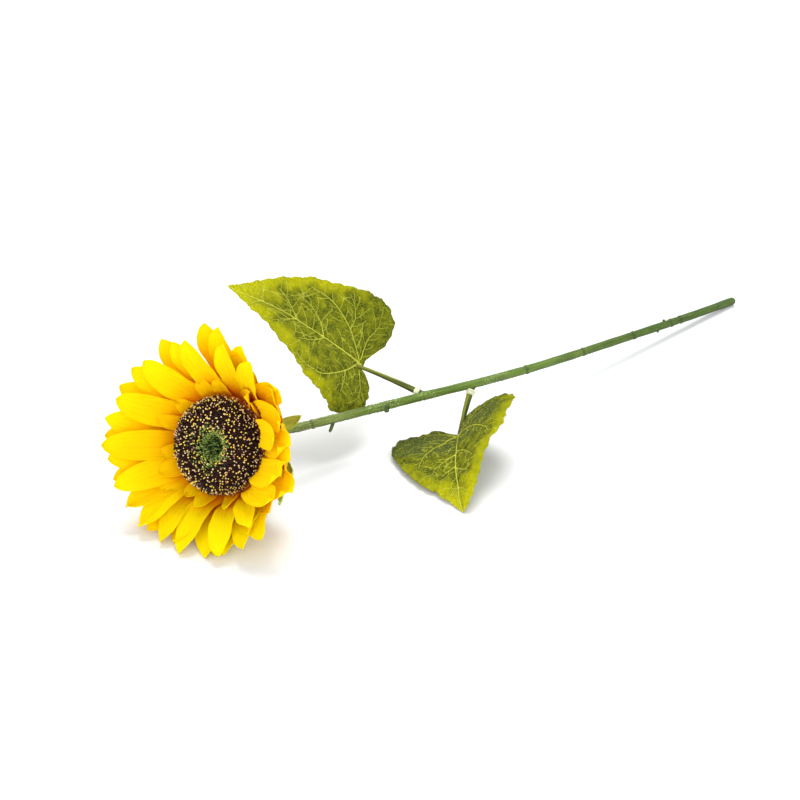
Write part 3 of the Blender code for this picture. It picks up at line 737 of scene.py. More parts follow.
def seedColour(reach, chance):
    # Dark shafts with tips of their own colours, green round the hole and glowing red at the rim.
    tree = reach.id_data
    rim = attribute(tree, "rim")
    stops = [(place, colour) for start, colour, end in seedPad["tips"] for place in (start, end)]
    shafts = scaledNoise(objectVector(tree), 300.0)
    colour = mixColour(shafts, seedPad["dark"], seedPad["reddish"])
    colour = tint(colour, ramp(chance, stops), reach, 0.86, 0.98)
    inner = plus(rim, swing(chance, 0.14))
    green = mixColour(reach, centreTuft["dark"], centreTuft["light"])
    colour = tint(colour, green, inner, seedPad["greenEdge"], seedPad["greenEdge"] - 0.04)
    return tint(colour, seedPad["rimGlow"], rim, 0.60, 0.72, 0.8)


def tuftColour(reach, chance):
    bright = times(mapRange(reach, 0.2, 1.0), mapRange(chance, 0.25, 0.9, 0.15, 1.0))
    return mixColour(bright, centreTuft["dark"], centreTuft["light"])


def feltMaterial(name, pad):
    made, tree, shader = newMaterial(name, 0.85, specular=0.2)
    speck = scaledNoise(objectVector(tree), 700.0, 3.0)
    paint(shader, mixColour(speck, pad["dark"], pad["felt"]), speck, 0.0006, 0.8)
    return made


bristles = bristleTree()
padMade = padPiece("seedPad", seedPad, feltMaterial("seedPadFelt", seedPad))
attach(padMade, "root")
seedBristle = bristleMaterial("seedBristle", seedColour)
seedsMade = bristlePiece("seedBristles", padMade, bristles, seedBristle, seedPad)
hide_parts("seed_bristles")
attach(seedsMade, "root")
print("seed bristles made:", len(seedsMade.data.polygons), "faces")

domeMade = padPiece("tuftDome", centreTuft, feltMaterial("tuftFelt", centreTuft))
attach(domeMade, "root")
tuftBristle = bristleMaterial("tuftBristle", tuftColour)
tuftMade = bristlePiece("tuftBristles", domeMade, bristles, tuftBristle, centreTuft)
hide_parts("centre_tuft")
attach(tuftMade, "root")
print("tuft bristles made:", len(tuftMade.data.polygons), "faces")


sepals = {
    "count": 15, "turn": -3.0, "seed": 21, "spread": 2.0, "topLean": 4.0,
    "section": ((18, -20.2), (44, -33.0), (53, -24.0), (60, -9.0)), "pivot": 24.0,
    "outline": (
        (0, 1.0), (0.25, 0.76), (0.42, 0.64), (0.58, 0.48), (0.72, 0.31), (0.86, 0.14), (0.95, 0.05),
        (1.0, 0.0),
    ),
    "turns": (8, 2, -4, 3, 0, 4, -3, 2, 0, 5, 1, -2, 0, -4, 4),
    "leans": (14, 3, 5, 0, 4, 2, 6, 0, 8, 12, 7, -1, -20, 19, -16),
    "lengths": (1.2, 0.95, 1.0, 0.92, 1.0, 0.95, 1.0, 0.95, 1.0, 1.04, 1.0, 1.0, 0.82, 0.86, 1.0),
    "columns": 13, "rows": 34, "cup": 1.6, "ribs": 1, "ribHeight": 0.25, "tipCurl": 1.5, "baseReach": 1.0,
    "green": (0.40, 0.50, 0.035), "paleGreen": (0.62, 0.70, 0.10), "dark": (0.20, 0.29, 0.03),
    "streaks": (600.0, 25.0, 1.0), "threads": 1900.0, "through": 0.15, "depth": 0.0005, "tone": 0.0,
}
calyxCup = {
    "section": (
        (0.0, -20.9), (15.0, -20.9), (17.0, -22.6), (15.6, -27.5), (11.0, -33.5), (6.4, -38.0), (5.2, -41.0),
        (3.4, -41.2),
    ),
    "steps": 120, "ribs": 12, "ribHeight": 0.35, "ribTop": -22.0,
    "green": (0.10, 0.19, 0.04), "pale": (0.22, 0.33, 0.08),
}


def sepalMaterial():
    made, tree, shader = newMaterial("sepalCloth", 0.6, sheen=0.1, specular=0.3)
    uv = uvVector(tree)
    streaks = scaledNoise(uv, sepals["streaks"], 4.0, 0.6)
    colour = tint(sepals["green"], sepals["paleGreen"], attribute(tree, "along"), 0.3, 0.95)
    colour = tint(colour, sepals["dark"], streaks, 0.45, 0.75, 0.5)
    colour = tint(colour, sepals["paleGreen"], attribute(tree, "rib"), 0.7, 1.0, 0.3)
    weave = useGroup(clothWeave, Vector=uv, Threads_per_metre=sepals["threads"])
    height = weighted((weave.outputs["Height"], 0.12), (streaks, 1))
    paint(shader, colour, height, sepals["depth"], 0.6)
    glowThrough(shader, colour, sepals["through"])
    return made


petalPiece("sepalLeaves", {**sepals, "node": "sepal_whorl"}, sepalMaterial())


def plasticMaterial(name, deep, pale, grainSize, roughness=0.45):
    made, tree, shader = newMaterial(name, roughness, specular=0.45)
    grain = useGroup(mouldedGrain, Vector=objectVector(tree), Grain_per_metre=grainSize)
    colour = tint(deep, pale, grain.outputs["Stain"], 0.35, 0.7)
    colour = tint(colour, pale, grain.outputs["Grain"], 0.5, 0.8, 0.25)
    paint(shader, colour, grain.outputs["Grain"], 0.0004, 0.5)
    return made


def calyxPiece():
    profile = spaced(curvePoints(calyxCup["section"], 6), 44)
    turns = np.linspace(0, 2 * math.pi, calyxCup["steps"] + 1)
    swell = calyxCup["ribHeight"] * np.cos(turns * calyxCup["ribs"]) * smoothStep(8.0, 13.0, profile[:, :1])
    swell *= profile[:, 1:] < calyxCup["ribTop"]
    points, faces, uvs = latheArrays(profile, calyxCup["steps"], (0.015, 0.04), swell)
    plastic = plasticMaterial("calyxPlastic", calyxCup["green"], calyxCup["pale"], 1200.0)
    piece = weld(meshPiece("calyxCup", points, faces, plastic, uvs))
    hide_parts("calyx_cup")
    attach(piece, "root")


calyxPiece()
print("sepals and calyx made")


stemSizes = {
    # the middle line outside the head, on the drawing, and inside it, as heights on the head's axis
    "route": (
        (-182, 43, 41.4), (-166.7, 41, 39.6), (-140, 36.5, 37.6), (-89, 24, 36.4), (-36, 11, 35),
        (-8.6, 6, 33.2), (22, 2.5, 30.6), (55, 0.5, 27.4), (91, 0, 23.6), (146, 0, 17.7),
        (203, 0, 11.8), (262, 0, 6.2), (300, 0, 3.3),
    ),
    "inHead": (-28.9, -35.0, -41.5),
    "topRadius": 3.3, "endRadius": 3.2, "endRounding": 1.4, "step": 0.9, "sides": 28, "seed": 3,
    "rings": (-155, 41, 107, 169, 217, 229), "ringSwell": 0.5, "grooveShift": 2.6,
    # from, to, how rough
    "roughPatches": ((-178, -118, 0.35), (-112, -80, 1.0), (-68, -48, 0.7), (-10, 22, 0.6)), "lumps": 0.16,
    # place along the stem, direction, length and radius
    "spurs": ((-137, (-0.35, 0.05, -0.94), 10.6, 1.6), (-93, (0.1, -0.75, -0.65), 5.4, 2.5),
              (209, (0.0, 0.25, 0.97), 4.8, 1.5), (199, (0.0, -0.5, -0.87), 4.4, 1.4)),
    "spurLean": 0.03, "spurSides": 12, "bossSides": 16,
    # each boss that holds a leaf: reach out of the stem's middle and radius
    "boss": ((1.8, 2.9), (2.6, 2.6), (3.4, 2.4), (4.6, 2.3), (5.6, 2.35), (6.0, 2.2), (6.2, 1.7)),
    "nearHead": (0.165, 0.205, 0.040), "fresh": (0.100, 0.172, 0.018), "farEnd": (0.048, 0.094, 0.008),
    "pale": (0.42, 0.50, 0.20), "dark": (0.022, 0.040, 0.006), "lines": (900.0, 40.0, 1.0),
}


def stemCurve():
    inHead = toWorld([(0, 0, height) for height in stemSizes["inHead"]])
    outside = np.array(stemSizes["route"]) * mm + np.array(drawingShift)
    curve = curvePoints(np.vstack((inHead, outside)), 14)
    length = np.linalg.norm(np.diff(curve, axis=0), axis=1).sum()
    return spaced(curve, round(length / (stemSizes["step"] * mm)))


def stemAt(curve, x):
    # Place on the stem and direction there, for an X in millimetres on the drawing.
    index = int(np.argmin(np.abs(curve[:, 0] - x * mm - drawingShift.x)))
    ahead, behind = curve[min(index + 1, len(curve) - 1)], curve[max(index - 1, 0)]
    return Vector(curve[index]), Vector(ahead - behind).normalized()


def roughAt(x):
    # How rough the stem is at each X of the drawing.
    patches = stemSizes["roughPatches"]
    return sum(share * smoothStep(a, a + 6, x) * (1 - smoothStep(b - 6, b, x)) for a, b, share in patches)


def stemBar(curve):
    # The bar itself with its rings, flutes and rough patches.
    passed = np.linspace(0, 1, len(curve))
    x = (curve[:, 0] - drawingShift.x) / mm
    radii = stemSizes["topRadius"] + (stemSizes["endRadius"] - stemSizes["topRadius"]) * passed
    for place in stemSizes["rings"]:
        groove = 0.6 * np.exp(-((x - place + stemSizes["grooveShift"]) ** 2))
        radii += stemSizes["ringSwell"] * (np.exp(-(((x - place) / 1.1) ** 2)) - groove)
    rounded = np.minimum(1.0, (1 - passed) * len(curve) * stemSizes["step"] / stemSizes["endRounding"])
    radii *= 0.45 + 0.55 * np.sqrt(1 - (1 - rounded) ** 2)
    rng = np.random.default_rng(stemSizes["seed"])
    lumps = rng.uniform(-1, 1, (len(curve), stemSizes["sides"] + 1))
    lumps[:, -1] = lumps[:, 0]
    rough = roughAt(x)

    def wobble(turn, travelled):
        row = min(int(round(travelled / mm / stemSizes["step"])), len(curve) - 1)
        column = int(round(turn / (2 * math.pi) * stemSizes["sides"]))
        flute = 0.05 * math.cos(7 * turn + 0.8 * math.sin(travelled * 30))
        flute += 0.03 * math.cos(3 * turn + travelled * 25)
        swell = 0.03 * math.sin(travelled * 190) * math.sin(2 * turn + travelled * 70)
        return flute + swell + stemSizes["lumps"] * rough[row] * lumps[row, column]

    return tubeArrays(curve, radii * mm, stemSizes["sides"], wobble)


def stemPiece(curve):
    parts = [stemBar(curve)]
    for place, direction, length, radius in stemSizes["spurs"]:
        centre, along = stemAt(curve, place)
        outward = Vector(direction)
        outward = (outward - along * outward.dot(along)).normalized()
        reaches = (1.6, 2.6, 3.2, length * 0.55, length * 0.8, length * 0.95, length)
        widths = (1.5, 1.15, 1.0, 0.86, 0.8, 0.62, 0.2)
        path = [centre + (outward - along * stemSizes["spurLean"] * reach) * reach * mm for reach in reaches]
        parts.append(tubeArrays(path, [radius * width * mm for width in widths], stemSizes["spurSides"]))
    for key in leafSizes:
        centre, outward, _, _ = stalkRoute(leafSizes[key], curve)
        path = [centre + outward * reach * mm for reach, _ in stemSizes["boss"]]
        radii = [radius * mm for _, radius in stemSizes["boss"]]
        parts.append(tubeArrays(path, radii, stemSizes["bossSides"]))
    points, faces, uvs = joined(parts)
    rows = np.round(np.array(uvs)[:, 1] / mm / stemSizes["step"]).astype(int)
    centres = curve[np.clip(rows, 0, len(curve) - 1), 2]
    x = (np.array([point[0] for point in points]) - drawingShift.x) / mm
    values = {
        "place": x, "patch": roughAt(x),
        # under and groove mark the stem's underside and the grooves beside its rings, where its colour is
        # darkened as painted shade
        "under": (centres - np.array([point[2] for point in points])) / (stemSizes["topRadius"] * mm),
        "groove": sum(
            np.exp(-(((x - place + stemSizes["grooveShift"]) / 1.2) ** 2)) for place in stemSizes["rings"]
        ),
    }
    piece = weld(meshPiece("stemBar", points, faces, stemMaterial(), uvs, values))
    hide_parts("stem")
    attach(piece, "root")


def stemMaterial():
    made, tree, shader = newMaterial("stemPlastic", 0.5, specular=0.22)
    place, patch, under, groove = (attribute(tree, name) for name in ("place", "patch", "under", "groove"))
    grain = useGroup(mouldedGrain, Vector=objectVector(tree), Grain_per_metre=1300.0)
    colour = tint(stemSizes["nearHead"], stemSizes["fresh"], place, -185.0, -60.0)
    colour = tint(colour, stemSizes["farEnd"], place, 40.0, 180.0)
    fleck = times(mapRange(grain.outputs["Grain"], 0.53, 0.62), plus(patch, 0.15))
    colour = mixColour(fleck, colour, stemSizes["pale"])
    colour = tint(colour, stemSizes["nearHead"], grain.outputs["Stain"], 0.5, 0.8, 0.35)
    lines = scaledNoise(uvVector(tree), stemSizes["lines"], 3.0)
    colour = tint(colour, stemSizes["dark"], lines, 0.42, 0.68, 0.55)
    # Painted shade: the colour darkens towards the stem's underside and in the grooves beside its rings.
    paintedShade = larger(mapRange(under, -0.1, 0.95, 0.0, 0.75), times(groove, 0.7))
    colour = mixColour(paintedShade, colour, stemSizes["dark"])
    paint(shader, colour, weighted((lines, 1), (grain.outputs["Grain"], 0.8)), 0.0005, 0.6)
    return made


# Margins, one for each side of a blade, and veins are places in shares of the leaf's length from its notch.
leafSizes = {
    "upper": {
        "base": (-84.2, 69.9, 54.3), "heading": 142.8, "rise": 49.2, "roll": -30.0, "length": 118.0,
        "arch": 36.0, "fold": (13.0, 5.0), "curl": (25.0, -24.0), "stemX": -57.0, "lift": 1.0, "seed": 2,
        "margins": (
            ((-0.08, 0), (-0.12, 0.005), (-0.165, 0.035), (-0.19, 0.10), (-0.197, 0.18), (-0.185, 0.27),
             (-0.11, 0.365), (-0.045, 0.432), (0.03, 0.462), (0.10, 0.432), (0.22, 0.392), (0.29, 0.382),
             (0.395, 0.328), (0.46, 0.287), (0.55, 0.248), (0.65, 0.185), (0.76, 0.142), (0.87, 0.085),
             (1, 0)),
            ((-0.08, 0), (-0.082, 0.06), (-0.072, 0.11), (-0.07, 0.15), (-0.105, 0.195), (-0.143, 0.265),
             (-0.14, 0.35), (-0.112, 0.427), (-0.035, 0.474), (0.04, 0.492), (0.16, 0.478), (0.27, 0.428),
             (0.41, 0.368), (0.525, 0.325), (0.615, 0.268), (0.71, 0.216), (0.82, 0.137), (0.90, 0.072),
             (1, 0)),
        ),
        # each vein: width at its start in millimetres, then its places
        "veins": (
            (1.5, (-0.06, -0.03), (0.045, -0.02), (0.19, -0.005), (0.4, 0.01), (0.6, 0.005), (0.9, 0.02),
             (1, 0)),
            (1.1, (-0.035, -0.04), (0.03, -0.1), (0.12, -0.17), (0.217, -0.222), (0.325, -0.26),
             (0.42, -0.267), (0.5, -0.265)),
            (1.0, (-0.04, -0.06), (-0.022, -0.147), (-0.012, -0.212), (-0.025, -0.295), (-0.03, -0.38)),
            (0.9, (0.28, -0.007), (0.342, -0.085), (0.435, -0.14), (0.56, -0.175)),
            (0.8, (0.492, 0.003), (0.555, -0.057), (0.627, -0.112), (0.68, -0.135)),
            (0.7, (0.133, -0.177), (0.143, -0.267), (0.203, -0.347), (0.258, -0.38)),
            (1.1, (-0.037, -0.025), (0.028, 0.098), (0.103, 0.2), (0.195, 0.288), (0.275, 0.307),
             (0.345, 0.305), (0.418, 0.27)),
            (0.8, (0.273, 0.013), (0.347, 0.1), (0.44, 0.153)),
            (0.7, (0.497, 0.008), (0.575, 0.075), (0.64, 0.133)),
            (0.7, (0.048, 0.133), (0.028, 0.248), (0.025, 0.307)),
            (0.9, (-0.04, -0.03), (-0.08, 0.08), (-0.11, 0.16), (-0.12, 0.24)),
            (0.6, (0.74, 0.01), (0.80, -0.04), (0.85, -0.06)),
            (0.6, (0.74, 0.01), (0.80, 0.05), (0.84, 0.07)),
        ),
        # for each side: how ripe its edge is, and from where to where along the leaf that grows
        "ripeSides": ((0.70, -0.10, 0.25), (0.72, -0.02, 0.35)), "ripeWidth": 30.0,
        # how much the green of each side deepens towards the stalk
        "deep": (0.0, 0.20),
    },
    "lower": {
        "base": (-48.6, -11.0, 8.9), "heading": -138.6, "rise": 7.5, "roll": 24.7, "length": 108.0,
        "arch": 26.3, "fold": (34.0, 15.1), "curl": (30.0, -4.0), "stemX": -13.5, "lift": 4.0, "seed": 6,
        "margins": (
            ((0.02, 0), (-0.07, 0.03), (-0.16, 0.08), (-0.172, 0.138), (-0.12, 0.235), (-0.075, 0.35),
             (-0.035, 0.44), (0.01, 0.495), (0.12, 0.54), (0.255, 0.482), (0.41, 0.438), (0.45, 0.40),
             (0.50, 0.34), (0.62, 0.277), (0.745, 0.223), (0.873, 0.15), (0.958, 0.073), (1, 0)),
            ((0.02, 0), (0.03, 0.055), (-0.065, 0.137), (-0.095, 0.20), (-0.04, 0.255), (-0.01, 0.335),
             (0.045, 0.42), (0.20, 0.472), (0.34, 0.438), (0.47, 0.377), (0.56, 0.332), (0.64, 0.28),
             (0.715, 0.22), (0.75, 0.17), (0.82, 0.13), (0.86, 0.085), (0.94, 0.035), (1, 0)),
        ),
        "veins": (
            (1.4, (0.03, 0.0), (0.062, 0.012), (0.22, 0.0), (0.423, -0.01), (0.6, -0.012), (0.745, -0.007),
             (0.863, -0.01), (1, 0)),
            (1.1, (0.062, 0.008), (0.095, -0.055), (0.168, -0.105), (0.23, -0.175), (0.35, -0.245),
             (0.475, -0.275)),
            (0.9, (0.345, -0.01), (0.408, -0.07), (0.482, -0.142), (0.562, -0.182)),
            (0.8, (0.505, -0.012), (0.552, -0.065), (0.607, -0.117)),
            (1.1, (0.062, 0.012), (0.105, 0.1), (0.185, 0.195), (0.328, 0.297), (0.42, 0.325)),
            (0.9, (0.293, 0.0), (0.415, 0.095), (0.535, 0.165)),
            (0.8, (0.515, -0.007), (0.605, 0.06), (0.673, 0.118)),
            (0.8, (0.06, 0.02), (0.01, 0.10), (-0.04, 0.19), (-0.04, 0.28)),
            (0.8, (0.06, -0.01), (0.01, -0.08), (-0.03, -0.17), (-0.01, -0.26)),
            (0.6, (0.74, -0.007), (0.79, -0.04), (0.83, -0.06)),
            (0.6, (0.74, -0.007), (0.79, 0.04), (0.83, 0.06)),
        ),
        "ripeSides": ((0.72, -0.25, 0.10), (0.42, 0.15, 0.60)), "ripeWidth": 21.0, "deep": (1.0, 1.6),
    },
}
leafFinish = {
    "rows": 230, "columns": 42, "thickness": 0.35, "curlWidth": 0.45, "floorGap": 0.2, "lobeDepth": 0.55,
    "toothPitch": 4.2, "toothDepth": 1.0, "toothShape": 0.7, "toothStart": (14, 24), "toothEnd": 6,
    "veinRise": 0.5, "twigRise": 0.3, "ruffle": 0.8, "ruffleStep": 11.0, "ruffleReach": 16.0,
    # how far the cloth bulges, and how far from a vein and from the margin it bulges fully
    "quilt": 1.5, "quiltFull": (6.0, 8.0), "ripeTip": (0.40, 0.95),
    "twigStep": 3.8, "twigWidth": 0.6, "twigReach": (1.0, 3.6), "twigTurn": (32, 74), "twigBend": 9.0,
    "twigSteps": 5, "spineShare": 0.62, "spineDrop": 1.85, "bossReach": 6.2, "pinShown": 2.2,
    "green": (0.230, 0.250, 0.008), "darkGreen": (0.082, 0.105, 0.008), "deepGreen": (0.080, 0.108, 0.028),
    "ripe": (0.66, 0.64, 0.0), "vein": (0.80, 0.83, 0.09), "network": (0.47, 0.50, 0.03),
    # the fine network: cells per metre, the noise that bends it, and where its lines begin and are full
    "cells": (380.0, 440.0, 1.0), "warp": 220.0, "warpReach": (0.0022, 0.0022, 0.0), "line": (0.12, 0.02),
    "mottle": 0.6, "between": (-0.36, 0.06), "threads": 1700.0, "depth": 0.0013, "through": 0.12,
    "stalkRadii": (2.35, 2.3, 2.0, 1.7, 1.5, 1.4, 1.25, 1.15, 1.05, 0.95, 0.85, 0.75, 0.65, 0.5),
    "stalkDark": (0.035, 0.050, 0.006), "stalkLight": (0.21, 0.22, 0.015), "stalkFleck": (0.06, 0.11, 0.02),
    "stalkStripes": (260.0, 18.0, 1.0), "stalkSides": 20,
}


def leafMatrix(leaf):
    heading, rise, roll = (math.radians(leaf[key]) for key in ("heading", "rise", "roll"))
    along = Vector((math.cos(rise) * math.cos(heading), math.cos(rise) * math.sin(heading), math.sin(rise)))
    level = Vector((-math.sin(heading), math.cos(heading), 0.0))
    left = level * math.cos(roll) + along.cross(level) * math.sin(roll)
    up = along.cross(left)
    matrix = Matrix((along, left, up)).transposed().to_4x4()
    matrix.translation = Vector(leaf["base"]) * mm + drawingShift
    return matrix


def leafPlaces(leaf, flat, raised):
    # Flat places, in shares of the leaf's length, put on the arched and folded blade and raised.
    length = leaf["length"]
    arch = math.radians(leaf["arch"])
    bend = arch * flat[..., 0]
    onRight = (flat[..., 1] < 0).astype(int)
    fold = np.radians(np.array(leaf["fold"]))[onRight]
    curl = np.radians(np.array(leaf["curl"]))[onRight] / (leafFinish["curlWidth"] * length)
    width = np.abs(flat[..., 1]) * length
    out = (np.sin(fold) - np.sin(fold - curl * width)) / curl
    up = (np.cos(fold - curl * width) - np.cos(fold)) / curl + raised
    local = np.stack((
        length / arch * np.sin(bend) + up * np.sin(bend),
        np.copysign(out, flat[..., 1]),
        -length / arch * (1 - np.cos(bend)) + up * np.cos(bend),
    ), axis=-1)
    matrix = np.array(leafMatrix(leaf))
    return local * mm @ matrix[:3, :3].T + matrix[:3, 3]


def stalkRoute(leaf, curve):
    # Out of the stem's boss, to the notch, and on under the midrib.
    root, _ = stemAt(curve, leaf["stemX"])
    place = leafMatrix(leaf)
    notch = place @ Vector((-8 * mm, 0, leaf["lift"] * mm))
    dip = place @ Vector((-1.8 * mm, 0, (0.2 - leafFinish["spineDrop"]) * mm))
    outward = (notch - root).normalized()
    face = root + outward * leafFinish["bossReach"] * mm
    start = face + outward * leafFinish["pinShown"] * mm
    flat = np.array([(leafFinish["spineShare"] * share, 0.0) for share in (0.045, 0.35, 0.7, 1.0)])
    under = leafPlaces(leaf, flat, -leafFinish["spineDrop"])
    bow = Vector((0, 0, 0.8 * mm))
    points = np.vstack((start, start.lerp(dip, 0.3) + bow, start.lerp(dip, 0.75) + bow, dip, under))
    return root, outward, face, spaced(curvePoints(points, 10), 90)


def mainVeins(leaf):
    # Each main vein as its places, in shares of the leaf's length, and its width there in millimetres.
    made = []
    for width, *places in leaf["veins"]:
        path = curvePoints(places, 8)
        made.append((path, np.linspace(width, 0.4 * width, len(path))))
    return made


def twigVeins(leaf, mains):
    # Thin veins that leave the main ones on alternate sides and bend towards the tip.
    rng = random.Random(leaf["seed"])
    made = []
    for path, _ in mains:
        travelled = distances(path) * leaf["length"]
        reach, side = leafFinish["twigStep"] * rng.uniform(0.6, 1.0), rng.choice((-1, 1))
        while reach < travelled[-1]:
            here = np.array([np.interp(reach, travelled, path[:, axis]) for axis in (0, 1)])
            ahead = np.array([np.interp(reach + 1.0, travelled, path[:, axis]) for axis in (0, 1)]) - here
            if np.linalg.norm(ahead) > 0:
                heading = math.atan2(ahead[1], ahead[0])
                heading += side * math.radians(rng.uniform(*leafFinish["twigTurn"]))
                step = rng.uniform(*leafFinish["twigReach"]) / leaf["length"]
                twig = [here]
                for _ in range(leafFinish["twigSteps"]):
                    twig.append(twig[-1] + step * np.array((math.cos(heading), math.sin(heading))))
                    heading -= side * math.radians(rng.uniform(-1, 2) * leafFinish["twigBend"])
                width = leafFinish["twigWidth"]
                made.append((np.array(twig), np.linspace(width, 0.5 * width, len(twig))))
            reach += leafFinish["twigStep"] * rng.uniform(0.7, 1.3)
            side = -side
    return made


def nearestVein(leaf, flat, paths):
    # The way to the nearest vein in millimetres, with how far that is, and that vein's width.
    away = np.zeros(flat.shape[:-1] + (3,))
    away[..., 2] = leaf["length"]
    size = np.ones(flat.shape[:-1])
    for path, widths in paths:
        for a, b, width in zip(path, path[1:], widths):
            line = b - a
            along = np.clip(((flat - a) @ line) / (line @ line), 0.0, 1.0)
            offset = (a + along[..., None] * line - flat) * leaf["length"]
            gap = np.linalg.norm(offset, axis=-1)
            closer = gap < away[..., 2]
            away[closer] = np.concatenate((offset, gap[..., None]), axis=-1)[closer]
            size[closer] = width
    return away, size


def leafMargin(leaf, outline, rng):
    # One side's edge with its teeth and shallow lobes, and the distance travelled along it in millimetres.
    margin = spaced(curvePoints(outline, 20), leafFinish["rows"])
    step = np.gradient(margin, axis=0)
    outward = np.stack((-step[:, 1], step[:, 0]), axis=-1) / np.linalg.norm(step, axis=1)[:, None]
    travelled = distances(margin) * leaf["length"]

    def uneven(count, low, high):
        return np.interp(travelled, np.linspace(0, travelled[-1], count), rng.uniform(low, high, count))

    ends = smoothStep(*leafFinish["toothStart"], travelled)
    ends = ends * (1 - smoothStep(travelled[-1] - leafFinish["toothEnd"], travelled[-1], travelled))
    phase = (travelled + uneven(40, -1.2, 1.2)) / leafFinish["toothPitch"]
    tooth = np.abs(np.sin(math.pi * phase)) ** leafFinish["toothShape"] - 0.6
    tooth = tooth * leafFinish["toothDepth"] * uneven(30, 0.3, 1.0)
    lobes = uneven(18, -1.0, 1.0) * leafFinish["lobeDepth"]
    return margin + outward * ((tooth + lobes) * ends / leaf["length"])[:, None], travelled


def leafBlade(key, leaf, material):
    rows, columns = leafFinish["rows"], leafFinish["columns"]
    rng = np.random.default_rng(leaf["seed"])
    first = leaf["margins"][0][0][0]
    spine = first + (1 - first) * np.linspace(0, 1, rows + 1) ** 1.7
    spineFlat = np.stack((spine, 0 * spine), axis=-1)
    across = np.linspace(0, 1, columns + 1)[None, :, None]
    mains = mainVeins(leaf)
    twigs = twigVeins(leaf, mains)
    points, faces, uvs = [], [], []
    values = {"vein": [], "veinWidth": [], "twig": [], "ripe": []}
    for side, outline, ripeEdge, deep in zip((1, -1), leaf["margins"], leaf["ripeSides"], leaf["deep"]):
        margin, travelled = leafMargin(leaf, outline, rng)
        flat = spineFlat[:, None] * (1 - across) + margin[:, None] * across
        flat[..., 1] = np.maximum(flat[..., 1], 1e-5) * side
        vein, width = nearestVein(leaf, flat, mains)
        twig, _ = nearestVein(leaf, flat, twigs)
        gap = vein[..., 2]
        edge = (1 - across[..., 0]) * np.linalg.norm(margin - spineFlat, axis=1)[:, None] * leaf["length"]
        crest = np.exp(-((gap / (0.6 * width)) ** 2))
        crest += leafFinish["twigRise"] * np.exp(-((twig[..., 2] / 0.5) ** 2))
        fromVein, fromEdge = leafFinish["quiltFull"]
        quilt = leafFinish["quilt"] * smoothStep(0.0, fromVein, gap) * smoothStep(0.0, fromEdge, edge)
        knots = travelled[::24]
        turns = 2 * math.pi * (travelled + np.interp(travelled, knots, rng.uniform(-3, 3, len(knots))))
        ruffle = leafFinish["ruffle"] * np.sin(turns / leafFinish["ruffleStep"])[:, None]
        ruffle = ruffle * smoothStep(leafFinish["ruffleReach"], 0.0, edge)
        raised = leafFinish["veinRise"] * crest + quilt + ruffle * smoothStep(0.0, 0.12, np.abs(flat[..., 1]))
        share, start, end = ripeEdge
        band = (1 - smoothStep(0.0, leaf["ripeWidth"], edge)) * smoothStep(start, end, flat[..., 0]) * share
        ripe = np.maximum(smoothStep(*leafFinish["ripeTip"], flat[..., 0]) * 0.95, band)
        ripe = ripe - deep * (1 - smoothStep(0.0, 0.5, flat[..., 0])) * (1 - ripe)
        begin = len(points)
        places = leafPlaces(leaf, flat, raised)
        places[..., 2] = np.maximum(places[..., 2], leafFinish["floorGap"] * mm)
        points.extend(places.reshape(-1, 3))
        uvs.extend((flat * leaf["length"] * mm).reshape(-1, 2))
        for name, made in (("vein", vein), ("twig", twig)):
            values[name].extend(made.reshape(-1, 3))
        values["veinWidth"].extend(width.ravel())
        values["ripe"].extend(ripe.ravel())
        made = gridFaces(rows + 1, columns + 1, begin)
        faces.extend(made if side < 0 else [tuple(reversed(face)) for face in made])
    piece = meshPiece("leafBlade" + key.capitalize(), points, faces, material, uvs, values)
    weld(piece, 0.00002, turnOut=False)
    thicken(piece, leafFinish["thickness"] * mm)
    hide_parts("leaf_blade_" + key)
    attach(piece, "root")


def veinLineGroup():
    # 1 on a vein and 0 off it, from the way to the vein, whose third number is the distance, and its width.
    tree, source, sink = newGroup(
        "veinLine", "ShaderNodeTree",
        (("Vector", "Vector", (0, 0, 0)), ("Width", "Float", 1.0)),
        (("Line", "Float"), ("Distance", "Float")),
    )
    vector = source.outputs["Vector"]
    level = mathNode("MULTIPLY", vector, (1.0, 1.0, 0.0), kind="ShaderNodeVectorMath")
    length = mathNode("LENGTH", level, kind="ShaderNodeVectorMath", output="Value")
    distance = addNode(tree, "ShaderNodeSeparateXYZ", Vector=vector).outputs[2]
    share = mathNode("DIVIDE", length, source.outputs["Width"])
    line = times(mapRange(share, 0.62, 0.30), mapRange(distance, 2.6, 1.5))
    feedAll(sink, {"Line": line, "Distance": distance})
    return tree


def leafNetwork(tree, uv):
    # The net of finest veins, as lines between bent cells.
    warp = addNode(tree, "ShaderNodeTexNoise", Vector=uv, Scale=leafFinish["warp"], Detail=1.0)
    shifts = warp.outputs["Color"], leafFinish["warpReach"], uv
    bent = mathNode("MULTIPLY_ADD", *shifts, kind="ShaderNodeVectorMath")
    mapping = addNode(tree, "ShaderNodeMapping", Vector=bent, Scale=leafFinish["cells"])
    cells = tree.nodes.new("ShaderNodeTexVoronoi")
    cells.feature = "DISTANCE_TO_EDGE"
    feedAll(cells, {"Vector": mapping.outputs[0], "Scale": 1.0})
    return mapRange(cells.outputs["Distance"], *leafFinish["line"])


